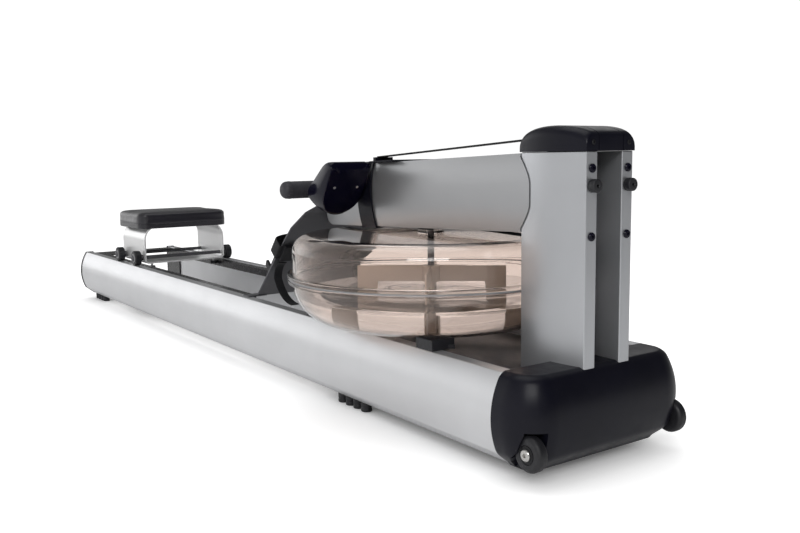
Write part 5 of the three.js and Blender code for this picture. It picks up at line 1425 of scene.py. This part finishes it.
def add_pulleys():
    half = PULLEY_WIDTH / 2
    web = PULLEY_WEB_DEPTH - half
    pulley = [(PULLEY_AXLE_RADIUS + GAP, -half), (PULLEY_HUB_RADIUS, -half), (PULLEY_WEB_INNER, web),
              (PULLEY_WEB_OUTER, web), (PULLEY_RADIUS + PULLEY_RIM - BELT_THICKNESS, -half),
              (PULLEY_RADIUS, PULLEY_RIM / 2 - half)]
    add_piece("top_pulley_wheel", turned_x(both_ends(pulley), at(PULLEY_STATION), PULLEY_Z, WHEEL_TURNS),
              MATT_BLACK, "top_pulley", ["top_pulley"])
    polished("top_pulley_axle", BRIGHT_STEEL, EDGE_FINE)
    half = RECOIL_WIDTH / 2
    recoil = [(0, -TRUNNION_HALF), (TRUNNION_RADIUS, -TRUNNION_HALF), (TRUNNION_RADIUS, -half),
              (RECOIL_RADIUS + RECOIL_RIM, -half), (RECOIL_RADIUS, -CORD_RADIUS)]
    add_piece("recoil_pulley_wheel", turned_x(both_ends(recoil), at(RECOIL_STATION), RECOIL_Z, SPOOL_TURNS),
              MATT_BLACK, "recoil_pulley", ["recoil_pulley"])
    hole, flange = SHAFT_RADIUS + GAP, SPOOL_FLANGE_RADIUS
    base, top = SPOOL_BASE_Z, SPOOL_BASE_Z + SPOOL_HEIGHT
    groove_foot, groove_r = base + SPOOL_FLANGE, SPOOL_RADIUS - SPOOL_FLANGE
    groove = groove_foot + GROOVE_HEIGHT
    spool = [(hole, base), (flange, base), (flange, groove_foot), (groove_r, groove_foot), (groove_r, groove),
             (flange, groove), (flange, groove + SPOOL_FLANGE), (SPOOL_RADIUS, groove + SPOOL_FLANGE),
             (SPOOL_RADIUS, top - SPOOL_FLANGE), (flange, top - SPOOL_FLANGE), (flange, top), (hole, top)]
    add_piece("clutch_drum", in_tank(spool, SPOOL_TURNS), MATT_BLACK, "clutch_spool", ["clutch_spool"],
              edge=EDGE_HAIR)


# Handle: a ribbed grip with a plain ring at each end and a hook clamp in the middle
def on_handle(profile):
    """A profile turned round the handle's axis."""
    rise = BEAM_TONGUE + GAP + HANDLE_RADIUS
    return moved(turned_x(profile, HANDLE_ALONG, rise, TURNS), beam_matrix())


def add_handle():
    end, r = HANDLE_HALF, HANDLE_RADIUS
    corner = HANDLE_END_ROUND
    start = end - corner - HANDLE_END_RING
    half = [(0, end), *arc(r - corner, end - corner, corner, corner, QUARTER, 0, 8), (r, start)]
    reach = start - HOOK_HALF - GRIP_MARGIN
    for i in range(GRIP_RIBS):
        h = start - reach * (i + 0.5) / GRIP_RIBS
        foot, shoulder = (reach / GRIP_RIBS * share for share in GRIP_GROOVE_SHARES)
        half += [(r, h + foot), (r - GRIP_RIB_DEPTH, h + shoulder), (r - GRIP_RIB_DEPTH, h - shoulder),
                 (r, h - foot)]
    half += [(r, HOOK_HALF + GRIP_END)]
    add_piece("handle_grip", on_handle(both_ends(half)), GRIP, "handle", ["handle"], degrees=50)
    clamp = [(r - SUNK, -HOOK_HALF), (HOOK_RADIUS - CHAMFER, -HOOK_HALF), (HOOK_RADIUS, CHAMFER - HOOK_HALF)]
    add_piece("handle_clamp", on_handle(both_ends(clamp)), MATT_BLACK, "handle")
    rings = []
    for side in (-1, 1):
        h = side * (end - corner - HANDLE_END_RING / 2)
        proud = r + END_RING_PROUD
        rings.append(on_handle([(r - SUNK, h - END_RING_FOOT), (proud, h - END_RING_FACE),
                                (proud, h + END_RING_FACE), (r - SUNK, h + END_RING_FOOT)]))
    add_piece("handle_end_rings", joined(*rings), GRIP, "handle")


# Monitor
def monitor_outline(inset):
    half = MONITOR_WIDTH / 2 - inset
    c = MONITOR_CORNER - inset / 2
    top = MONITOR_TOP_Z - inset
    bottom = MONITOR_TOP_Z - MONITOR_HEIGHT + inset
    chin = MONITOR_CHIN_ROUND - inset
    steps = MONITOR_STEPS
    outline = arc(half - c, top - c, c, c, 0, QUARTER, steps)
    outline += [(half - c - (2 * half - 2 * c) * i / steps, top) for i in range(1, steps)]
    outline += arc(c - half, top - c, c, c, QUARTER, 2 * QUARTER, steps)
    side_low = bottom + chin
    outline += [(-half, top - c - (top - c - side_low) * i / steps) for i in range(1, steps)]
    outline += arc(0, side_low, half, chin, 2 * QUARTER, 4 * QUARTER, 3 * steps)
    outline += [(half, side_low + (top - c - side_low) * i / steps) for i in range(1, steps)]
    return outline


def monitor_depths(z):
    """The back and the front of the housing at a height, in the beams' frame."""
    bottom = MONITOR_TOP_Z - MONITOR_HEIGHT
    back = MONITOR_BACK
    low = bottom + MONITOR_HEEL_RISE
    high = MONITOR_TOP_Z - MONITOR_BEVEL
    if z > high:
        back += MONITOR_BEVEL_DEPTH * ((z - MONITOR_TOP_Z + MONITOR_BEVEL) / MONITOR_BEVEL) ** BEVEL_POWER
    back += MONITOR_LEAN * min(1.0, max(0.0, (high - z) / (high - low)))
    if z < low:
        back += (MONITOR_CHIN_DEPTH - MONITOR_LEAN) * (low - z) / MONITOR_HEEL_RISE
    sine, cosine = math.sin(MONITOR_SLOPE), math.cos(MONITOR_SLOPE)
    run = MONITOR_SLOPE_LENGTH * cosine - MONITOR_NOSE * sine
    drop = MONITOR_SLOPE_LENGTH * sine + MONITOR_NOSE * cosine
    edge = MONITOR_BACK + MONITOR_TOP_DEPTH
    nose_z = MONITOR_TOP_Z - drop
    slope_end = nose_z + MONITOR_NOSE * cosine
    turn_end = nose_z - MONITOR_NOSE * math.sin(QUARTER / 2)
    if z >= slope_end:
        front = edge + (MONITOR_TOP_Z - z) / math.tan(MONITOR_SLOPE)
    elif z >= turn_end:
        front = edge + run + math.sqrt(max(0.0, MONITOR_NOSE ** 2 - (z - nose_z) ** 2))
    else:
        nose_y = edge + run + MONITOR_NOSE * math.cos(QUARTER / 2)
        share = (turn_end - z) / (turn_end - bottom)
        front = nose_y + (MONITOR_BACK + MONITOR_CHIN_DEPTH - nose_y) * share
    return back, max(front, back + MONITOR_LEAST_DEPTH)


def monitor_ring(inset, depth_share, shift, scale=1.0):
    """The housing's outline at a share of its depth, drawn in and scaled towards its middle."""
    middle_z = MONITOR_TOP_Z - MONITOR_HEIGHT * MONITOR_MIDDLE_SHARE
    ring = []
    for x, height in monitor_outline(inset):
        z = middle_z + (height - middle_z) * scale
        back, front = monitor_depths(z)
        ring.append((x * scale + MONITOR_CENTRE_X, back + (front - back) * depth_share + shift, z))
    return ring


def display_matrix():
    place = (MONITOR_CENTRE_X, MONITOR_BACK + MONITOR_TOP_DEPTH, MONITOR_TOP_Z)
    return beam_matrix() @ Matrix.Translation(place) @ Matrix.Rotation(-MONITOR_SLOPE, 4, "X")


def add_monitor():
    e, steps = MONITOR_EDGE, MONITOR_EDGE_STEPS
    rings = [monitor_ring(e, 0, 0, scale) for scale in MONITOR_FACE_SHARES]
    turns = [QUARTER * i / steps for i in range(steps + 1)]
    rounds = [(1 - math.sin(turn), 1 - math.cos(turn)) for turn in turns]
    rings += [monitor_ring(e * inset, 0, e * shift) for inset, shift in rounds]
    rings += [monitor_ring(e * inset, 1, -e * shift) for inset, shift in rounds[::-1]]
    rings += [monitor_ring(e, 1, 0, scale) for scale in MONITOR_FACE_SHARES[::-1]]
    lay = beam_matrix()
    add_piece("monitor_shell", moved(lofted(rings), lay), GLOSS_BLACK, "monitor", ["monitor_housing"],
              degrees=28)
    facing = display_matrix()
    half, low, high = SCREEN_WIDTH / 2, SCREEN_MARGIN, SCREEN_MARGIN + SCREEN_HEIGHT
    wide = half + SCREEN_BORDER
    plan = rounded_rectangle(-wide, wide, low - SCREEN_BORDER, high + SCREEN_BORDER, BEZEL_CORNER, 6)
    glass = along_z(plan, -SUNK, BEZEL_PROUD)
    add_piece("monitor_bezel", moved(glass, facing), GLOSS_BLACK, "monitor", edge=EDGE_HAIR)
    face = along_z(rounded_rectangle(-half, half, low, high, SCREEN_CORNER, 4), 0, SCREEN_PROUD)
    add_piece("monitor_display", moved(face, facing), SCREEN, "monitor", ["monitor_screen"])
    r = BUTTON_RADIUS
    key = [(0, -BUTTON_SUNK), (r, -BUTTON_SUNK), (r, BUTTON_PROUD - EDGE), (r - EDGE, BUTTON_PROUD),
           (0, BUTTON_PROUD)]
    for i in range(BUTTON_COUNT):
        button = turned_z(key, (i - 1) * BUTTON_PITCH, high + BUTTON_DROP, SMALL_TURNS)
        add_piece(f"monitor_key_{i + 1}", moved(button, facing), HUB_GREY, f"button_{i + 1}",
                  [f"monitor_button_{i + 1}"])
    screws = []
    for side in (-1, 1):
        z = MONITOR_TOP_Z - MONITOR_SCREW_DROP
        lean = math.atan2(MONITOR_LEAN, MONITOR_HEIGHT - MONITOR_HEEL_RISE - MONITOR_BEVEL)
        x = MONITOR_CENTRE_X + side * MONITOR_SCREW_HALF
        place = Matrix.Translation((x, monitor_depths(z)[0], z))
        turn = Matrix.Rotation(QUARTER + lean, 4, "X")
        screws.append(moved(screw_shape(*MONITOR_SCREW), lay @ place @ turn))
    add_piece("monitor_back_screws", joined(*screws), BRIGHT_STEEL, "monitor")


# Footboard, footrests and straps
def board_matrix():
    return laid((0, at(BOARD_STATION), BOARD_Z), -BOARD_SLOPE, "X")


def board_half_at(y):
    share = y / BOARD_LENGTH
    for (s0, w0), (s1, w1) in zip(BOARD_SHARES, BOARD_SHARES[1:]):
        if share <= s1:
            return BOARD_HALF * (w0 + (w1 - w0) * (share - s0) / (s1 - s0))
    return BOARD_HALF


def add_footboard():
    polished("footboard", BOARD_GREY, degrees=30)


def add_footrests():
    lay = board_matrix()
    bottom = BOARD_THICKNESS / 2 + REST_GAP
    top = bottom + REST_THICKNESS
    half, r = REST_WIDTH / 2, REST_TOE_ROUND
    rest_end = BOARD_LENGTH - REST_FROM_BOTTOM
    toe_y = rest_end - REST_LENGTH
    heel_y = rest_end - half
    inner = half - HEEL_THICKNESS
    for side, name in SIDES:
        x = REST_CENTRE_X * side
        round_heel = arc(x, heel_y, half, half, 0, math.pi, HEEL_STEPS)
        toe = (arc(x - half + r, toe_y + r, r, r, math.pi, 3 * QUARTER, 8)
               + arc(x + half - r, toe_y + r, r, r, 3 * QUARTER, FULL, 8))
        plate = along_z(round_heel + toe, bottom, top)
        heel = along_z(round_heel + arc(x, heel_y, inner, inner, math.pi, 0, HEEL_STEPS), top - SUNK,
                       top + HEEL_HEIGHT)
        walls = [box(x + low, x + low + HEEL_THICKNESS, rest_end - half - REST_WALL_LENGTH, heel_y + REST_GAP,
                     top - SUNK, top + REST_WALL_HEIGHT) for low in (-half, inner)]
        ribs = []
        for i in range(REST_RIBS):
            y = toe_y + RIB_FIRST + i * RIB_PITCH
            ribs.append(box(x - half + RIB_MARGIN, x + half - RIB_MARGIN, y, y + RIB_WIDTH, top - REST_GAP,
                            top + RIB_PROUD))
        add_piece(f"{name}_foot_plate", moved(joined(plate, heel, *walls, *ribs), lay), MATT_BLACK,
                  f"{name}_footrest", edge=EDGE_MOULDED)
        slide_y = rest_end - SLIDE_FROM_HEEL
        y0, y1 = slide_y - SLIDE_REACH, slide_y + SLIDE_REACH
        behind = -bottom
        block = box(x - SLIDE_HALF, x + SLIDE_HALF, y0, y1, behind - SLIDE_HEAD, bottom + SUNK)
        head = box(x - SLIDE_HEAD_HALF, x + SLIDE_HEAD_HALF, y0, y1, behind - SLIDE_HEAD, behind)
        add_piece(f"{name}_slide_block", moved(joined(block, head), lay), MATT_BLACK, f"{name}_footrest",
                  [f"{name}_footrest"], edge=EDGE_FINE)


def strap_line():
    rest = BOARD_THICKNESS / 2 + REST_GAP + REST_THICKNESS
    centre_y = BOARD_LENGTH - REST_FROM_BOTTOM - STRAP_FROM_HEEL - STRAP_WIDTH / 2
    outer = (board_half_at(centre_y + STRAP_WIDTH / 2 + REST_TRAVEL_DOWN) + STRAP_CLEARANCE
             + STRAP_THICKNESS / 2)
    inner = REST_CENTRE_X - REST_WIDTH / 2 + STRAP_INSET
    middle = (inner + outer) / 2
    under = -BOARD_THICKNESS / 2 - STRAP_CLEARANCE - STRAP_THICKNESS / 2
    r = STRAP_TURN
    line = [(inner, rest + GAP),
            *arc(middle, rest + STRAP_HEIGHT / 2, (outer - inner) / 2, STRAP_HEIGHT / 2, math.pi, 0, 40),
            *arc(outer - r, under + r, r, r, 0, -QUARTER, 5), (outer - STRAP_TAIL, under)]
    return line, centre_y, outer, under


def add_straps():
    lay = board_matrix()
    line, centre_y, outer, under = strap_line()
    half = STRAP_WIDTH / 2
    far = outer - STRAP_TAIL
    for side, name in SIDES:
        band = along_y(mirrored(band_outline(line, STRAP_THICKNESS), side), centre_y - half, centre_y + half)
        add_piece(f"{name}_foot_webbing", moved(band, lay), WEBBING, f"{name}_footrest",
                  [f"{name}_foot_strap"], edge=EDGE_CLOTH)
        plan = rounded_rectangle(*span(side, far, far + BUCKLE_WIDTH), centre_y - BUCKLE_LENGTH / 2,
                                 centre_y + BUCKLE_LENGTH / 2, BUCKLE_CORNER, 5)
        buckle = along_z(plan, under - BUCKLE_THICKNESS, under - BUCKLE_GAP)
        add_piece(f"{name}_strap_buckle", moved(buckle, lay), MATT_BLACK, f"{name}_footrest", edge=EDGE_WIDE)
        add_strap_end(side, name)


def add_strap_end(side, name):
    """The strap's free end, which hangs from the buckle behind the board."""
    start, over, turn, under, end = STRAP_END_POINTS
    line = arc_through(start, over, turn, 10) + arc_through(turn, under, end, 16)[1:]
    points = [Vector((side * STRAP_END_X, at(station), z)) for station, z in line]
    shape = swept(points, [ACROSS] * len(points), flat_section(STRAP_END_WIDTH, STRAP_THICKNESS))
    add_piece(f"{name}_strap_end", shape, WEBBING, f"{name}_footrest", edge=EDGE_HAIR)


# Seat
def add_seat_frame():
    half = SEAT_HALF - SEAT_SHEET / 2
    low = SEAT_BOTTOM_Z + SEAT_SHEET / 2
    top = SEAT_TOP_Z - SEAT_SHEET / 2
    right = arc(half - SEAT_CORNER, low + SEAT_CORNER, SEAT_CORNER, SEAT_CORNER, -QUARTER, 0, 10)
    right += arc(half - SEAT_BEND, top - SEAT_BEND, SEAT_BEND, SEAT_BEND, 0, QUARTER, 18)
    right += [(SEAT_FLANGE_X, top)]
    line = mirrored(right, -1)[::-1] + right
    front, rear = at(SEAT_STATION - SEAT_FRAME_DEPTH / 2), at(SEAT_STATION + SEAT_FRAME_DEPTH / 2)
    shape = along_y(band_outline(line, SEAT_SHEET), front, rear)
    pin_top = SEAT_BOTTOM_Z + SEAT_SHEET / 2
    pin = [(0, PIN_FOOT_Z), (PIN_HEAD_RADIUS, PIN_FOOT_Z), (PIN_HEAD_RADIUS, PIN_HEAD_TOP_Z),
           (PIN_RADIUS, PIN_HEAD_TOP_Z), (PIN_RADIUS, pin_top), (0, pin_top)]
    bore = PIN_RADIUS + GAP
    roller = [(bore, ROLLER_LOW_Z), (ROLLER_FACE_RADIUS, ROLLER_LOW_Z),
              (ROLLER_RADIUS, ROLLER_LOW_Z + ROLLER_ROUND), (ROLLER_RADIUS, ROLLER_HIGH_Z - ROLLER_ROUND),
              (ROLLER_FACE_RADIUS, ROLLER_HIGH_Z), (bore, ROLLER_HIGH_Z)]
    pins = []
    for side, name in SIDES:
        x, y = ROLLER_X * side, at(SEAT_STATION - ROLLER_AHEAD)
        pins.append(turned_z(pin, x, y, SCREW_TURNS))
        add_piece(f"{name}_guide_wheel", turned_z(roller, x, y, SMALL_TURNS), MATT_BLACK,
                  f"{name}_guide_roller", [f"{name}_guide_roller"])
    add_piece("seat_bracket", joined(shape, *pins), SEAT_SILVER_PAINTED_LIGHT, "seat", ["seat_frame"], edge=EDGE_FINE)
    places = [(SEAT_BOLT_X * side, at(SEAT_STATION + y), SEAT_TOP_Z - SEAT_SHEET) for side in (-1, 1)
              for y in (-SEAT_BOLT_REACH, SEAT_BOLT_REACH)]
    add_screws("seat_bolts", places, (0, 0, -1), SEAT_BOLT, MATT_BLACK, "seat")


def seat_tyre():
    """The profile of a seat wheel's tyre, with two grooves round it."""
    outer, full, r = SEAT_WHEEL_INNER_X + SEAT_WHEEL_WIDTH, SEAT_WHEEL_RADIUS, TYRE_ROUND
    tyre = [(SEAT_WHEEL_HUB, SEAT_WHEEL_INNER_X)]
    tyre += arc(full - r, SEAT_WHEEL_INNER_X + r, r, r, -QUARTER, 0, 5)
    for i in range(2):
        h = SEAT_WHEEL_INNER_X + SEAT_WHEEL_WIDTH * (i + 1) / 3
        tyre += [(full, h - GROOVE_HALF), (full - GROOVE_DEPTH, h - GROOVE_FLOOR_HALF),
                 (full - GROOVE_DEPTH, h + GROOVE_FLOOR_HALF), (full, h + GROOVE_HALF)]
    tyre += arc(full - r, outer - r, r, r, 0, QUARTER, 5)
    return tyre + [(SEAT_WHEEL_HUB + EDGE, outer), (SEAT_WHEEL_HUB, outer - CHAMFER)]


def seat_hub():
    """The profile of a seat wheel's hub: a raised rim round a dish, and a boss round the axle."""
    outer, r = SEAT_WHEEL_INNER_X + SEAT_WHEEL_WIDTH, SEAT_WHEEL_HUB
    bore, side = SEAT_AXLE_RADIUS + GAP, SEAT_WHEEL_HUB - SEAT_HUB_CLEARANCE
    rim, dish = outer + SEAT_HUB_PROUD, outer - SEAT_HUB_DISH
    return [(bore, SEAT_WHEEL_INNER_X), (side, SEAT_WHEEL_INNER_X), (side, outer + SEAT_HUB_SIDE),
            (r - CHAMFER, rim), (r - SEAT_HUB_RIM, rim), (r - SEAT_HUB_DISH_START, dish),
            (SEAT_HEAD_RADIUS + EDGE, dish), (SEAT_HEAD_RADIUS, rim), (bore, rim)]


def add_seat_wheels():
    head = SEAT_WHEEL_INNER_X + SEAT_WHEEL_WIDTH + SEAT_HUB_PROUD + GAP
    collar, collar_end = SEAT_HALF + GAP, SEAT_WHEEL_INNER_X - GAP
    half = [(SEAT_AXLE_RADIUS, 0), (SEAT_AXLE_RADIUS, collar), (SEAT_COLLAR - CHAMFER, collar),
            (SEAT_COLLAR, collar + CHAMFER), (SEAT_COLLAR, collar_end), (SEAT_AXLE_RADIUS, collar_end),
            (SEAT_AXLE_RADIUS, head), (0, head)]
    axle = [(r, -h) for r, h in half[::-1]] + half[1:]
    for way, row in ((-1, "front"), (1, "rear")):
        y = at(SEAT_STATION + way * SEAT_BASE / 2)
        for side, name in SIDES:
            body = f"{row}_{name}_seat_wheel"
            add_piece(f"{row}_{name}_tyre", turned_x(handed(seat_tyre(), side), y, SEAT_WHEEL_Z, WHEEL_TURNS),
                      RUBBER, body, [body])
            add_piece(f"{row}_{name}_hub", turned_x(handed(seat_hub(), side), y, SEAT_WHEEL_Z, WHEEL_TURNS),
                      HUB_GREY, body)
        rod = turned_x(axle, y, SEAT_WHEEL_Z, SMALL_TURNS)
        add_piece(f"{row}_seat_spindle", joined(rod, *axle_heads(SEAT_AXLE_HEAD, head, y, SEAT_WHEEL_Z)),
                  DARK_STEEL, "seat", [f"{row}_seat_axle"])


def pad_ring(inset, z):
    outline = rounded_rectangle(inset - PAD_WIDTH / 2, PAD_WIDTH / 2 - inset, inset - PAD_DEPTH / 2,
                                PAD_DEPTH / 2 - inset, max(PAD_LEAST_CORNER, PAD_CORNER - inset), 10)
    return [(x, y + at(SEAT_STATION), z) for x, y in outline]


def pad_shape():
    low = SEAT_TOP_Z + GAP
    top = low + PAD_HEIGHT - PAD_CROWN - PAD_SHRINK
    s, centre = PAD_SHRINK, at(SEAT_STATION)
    rings = [pad_ring(s + PAD_FOOT_ROUND, low), pad_ring(s, low + PAD_FOOT_ROUND),
             pad_ring(s + PAD_WAIST, low + PAD_HEIGHT * PAD_WAIST_SHARE)]
    for x, z in arc(PAD_EDGE, top - PAD_EDGE, PAD_EDGE, PAD_EDGE, math.pi, QUARTER, 6):
        rings.append(pad_ring(s + x, z))
    for share in PAD_TOP_SHARES:
        rings.append([(x * share, centre + (y - centre) * share, top + PAD_CROWN * (1 - share * share))
                      for x, y, _ in pad_ring(s + PAD_EDGE, 0)])
    return lofted(rings)


def puffed(piece, pressure, cap, frames):
    """Fills the piece like a cushion, its foot held flat, and keeps each point near where it was."""
    rest = [v.co.copy() for v in piece.data.vertices]
    low = min(v.z for v in rest)
    held = piece.vertex_groups.new(name="foot")
    held.add([i for i, v in enumerate(rest) if v.z < low + PAD_HELD * MM], 1.0, "REPLACE")
    cloth = piece.modifiers.new("Cloth", "CLOTH")
    cloth.settings.use_pressure = True
    cloth.settings.uniform_pressure_force = pressure
    cloth.settings.vertex_group_mass = "foot"
    cloth.settings.effector_weights.gravity = 0
    for step in range(1, frames + 1):
        scene.frame_set(step)
    baked(piece)
    scene.frame_set(1)
    for vertex, start in zip(piece.data.vertices, rest):
        shift = vertex.co - start
        if shift.length > cap * MM:
            vertex.co = start + shift.normalized() * cap * MM
        vertex.co.z = max(vertex.co.z, low)


def add_pad_skirt():
    """The covered board under the cushion: its rim hangs a little below the board's underside."""
    high = SEAT_TOP_Z + 2 * GAP + PAD_FOOT_ROUND
    low = SEAT_TOP_Z - SKIRT_DROP
    inner = SKIRT_INSET + SKIRT_WALL
    rings = [pad_ring(inner, high), pad_ring(inner, low), pad_ring(SKIRT_INSET + SKIRT_ROUND, low),
             pad_ring(SKIRT_INSET, low + SKIRT_ROUND), pad_ring(SKIRT_INSET, high)]
    add_piece("pad_skirt", hooped(rings), LEATHER, "seat")


def add_seat_pad():
    pad = form("seat_cushion", pad_shape())
    remesh = pad.modifiers.new("Even", "REMESH")
    remesh.mode = "VOXEL"
    remesh.voxel_size = PAD_VOXEL * MM
    baked(pad)
    puffed(pad, PAD_PRESSURE, PAD_CAP, PAD_FRAMES)
    smooth = pad.modifiers.new("Smooth", "SMOOTH")
    smooth.iterations = PAD_SMOOTHINGS
    smooth.factor = 0.5
    fine = pad.modifiers.new("Fine", "SUBSURF")
    fine.levels = 1
    fine.render_levels = 1
    baked(pad)
    pad.data.materials.clear()
    pad.data.materials.append(LEATHER)
    pad.data.shade_smooth()
    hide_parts("seat_pad")
    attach(pad, "seat")


# Feet
def add_feet():
    r, neck = FOOT_RADIUS, FOOT_RADIUS - FOOT_NECK_DEPTH
    profile = [(0, 0), *arc(r - FOOT_ROUND, FOOT_ROUND, FOOT_ROUND, FOOT_ROUND, -QUARTER, 0, 4),
               (r, FOOT_NECK_LOW), (neck, FOOT_NECK_LOW + FOOT_NECK_DEPTH), (neck, FOOT_NECK_HIGH),
               (r, FOOT_NECK_HIGH + FOOT_NECK_DEPTH), (r, FOOT_TOP_Z), (0, FOOT_TOP_Z)]
    for row, station in FOOT_STATIONS.items():
        last = at(station + (FOOT_COUNT - 1) * FOOT_PITCH)
        for side, name in SIDES:
            pads = [turned_z(profile, FOOT_X * side, at(station + i * FOOT_PITCH), SMALL_TURNS)
                    for i in range(FOOT_COUNT)]
            plan = rounded_rectangle(*span(side, FOOT_STRIP_INNER_X, FOOT_STRIP_OUTER_X), at(station) - r,
                                     last + r, FOOT_STRIP_CORNER, 4)
            strip = along_z(plan, FOOT_TOP_Z - FOOT_OVERLAP, FOOT_STRIP_TOP_Z)
            add_piece(f"{row}_{name}_pads", joined(strip, *pads), RUBBER, "frame", [f"{row}_{name}_feet"],
                      edge=EDGE_FINE)


# Stage
def add_camera():
    yaw, pitch, roll = (math.radians(a) for a in (CAMERA_YAW, CAMERA_PITCH, CAMERA_ROLL))
    forward = Vector((math.sin(yaw) * math.cos(pitch), math.cos(yaw) * math.cos(pitch), -math.sin(pitch)))
    right = Vector((math.cos(yaw), -math.sin(yaw), 0))
    up = right.cross(forward)
    x = right * math.cos(roll) + up * math.sin(roll)
    y = up * math.cos(roll) - right * math.sin(roll)
    lens = bpy.data.cameras.new("camera")
    lens.lens = CAMERA_LENS
    lens.sensor_width = CAMERA_SENSOR
    lens.sensor_fit = "HORIZONTAL"
    lens.clip_end = CAMERA_REACH * MM
    camera = bpy.data.objects.new("camera", lens)
    turn = Matrix((x, y, -forward)).transposed().to_4x4()
    camera.matrix_world = Matrix.Translation(Vector(CAMERA_PLACE) * MM) @ turn
    scene.collection.objects.link(camera)
    scene.camera = camera


def add_surroundings():
    """A white background; for the rest, light from the left and rear that fades to the right and overhead."""
    world = bpy.data.worlds.new("studio")
    world.use_nodes = True
    mixer = Mixer(world.node_tree)
    sky = mixer.nodes["Background"]
    mixer.give(sky.inputs["Color"], (1, 1, 1, 1))
    split = mixer.made("SeparateXYZ", Vector=mixer.made("TexCoord").outputs["Generated"])
    x, y, z = (split.outputs[axis] for axis in "XYZ")
    across = mixer.ranged(x, *ACROSS_FADE, LEFT_STRENGTH, RIGHT_STRENGTH)
    upward = mixer.ranged(z, *UPWARD_FADE, 1, OVERHEAD_SHARE)
    rear = mixer.combined("MULTIPLY", mixer.ranged(y, *REAR_FADE, 0, REAR_MORE),
                          mixer.ranged(x, *REAR_SIDE_FADE, 1, 0))
    across = mixer.combined("MULTIPLY", across, mixer.ranged(y, *FRONT_FADE, FRONT_SHARE, 1))
    around = mixer.combined("MULTIPLY", mixer.combined("ADD", across, rear), upward)
    mixer.give(sky.inputs["Strength"], mixer.seen(around, BACKGROUND))
    scene.world = world


def add_floor():
    """A pale lit floor that keeps soft shade close to whatever stands on it."""
    look = Look("floor_white", FLOOR_COLOUR, FLOOR_ROUGHNESS)
    look.mottled(look.noise(scale=2), amount=0.01)
    shade = look.made("AmbientOcclusion", Distance=FLOOR_SHADE_REACH * MM)
    glow = look.combined("MULTIPLY", shade.outputs["AO"], look.seen(FLOOR_BOUNCE, FLOOR_SEEN))
    look.give(look.shader.inputs["Emission Color"], (1, 1, 1, 1))
    look.give(look.shader.inputs["Emission Strength"], glow)
    half = FLOOR_HALF
    floor = form("floor", grid([[(-half, -half, 0), (half, -half, 0)], [(-half, half, 0), (half, half, 0)]]))
    floor.data.materials.append(look.material)


def add_stage():
    add_floor()
    add_surroundings()
    for light in SOFTBOXES:
        lamp = bpy.data.lights.new(light["name"], "AREA")
        lamp.shape = "RECTANGLE"
        lamp.size = light["size"][0] * MM
        lamp.size_y = light["size"][1] * MM
        lamp.energy = light["watts"]
        stand = bpy.data.objects.new(light["name"], lamp)
        place, aim = Vector(light["place"]) * MM, Vector(light["aim"]) * MM
        stand.rotation_euler = (aim - place).to_track_quat("-Z", "Y").to_euler()
        stand.location = place
        scene.collection.objects.link(stand)
    scene.view_settings.view_transform = "Standard"


add_camera()
add_stage()
add_rails()
add_front_cap()
add_transport_wheels()
add_uprights()
add_top_caps()
add_beams()
add_tank()
add_tank_mat()
add_water()
add_paddle()
add_droplets()
add_belt()
add_recoil_cord()
add_pulleys()
add_handle()
add_monitor()
add_footboard()
add_footrests()
add_straps()
add_seat_frame()
add_seat_wheels()
add_pad_skirt()
add_seat_pad()
add_feet()
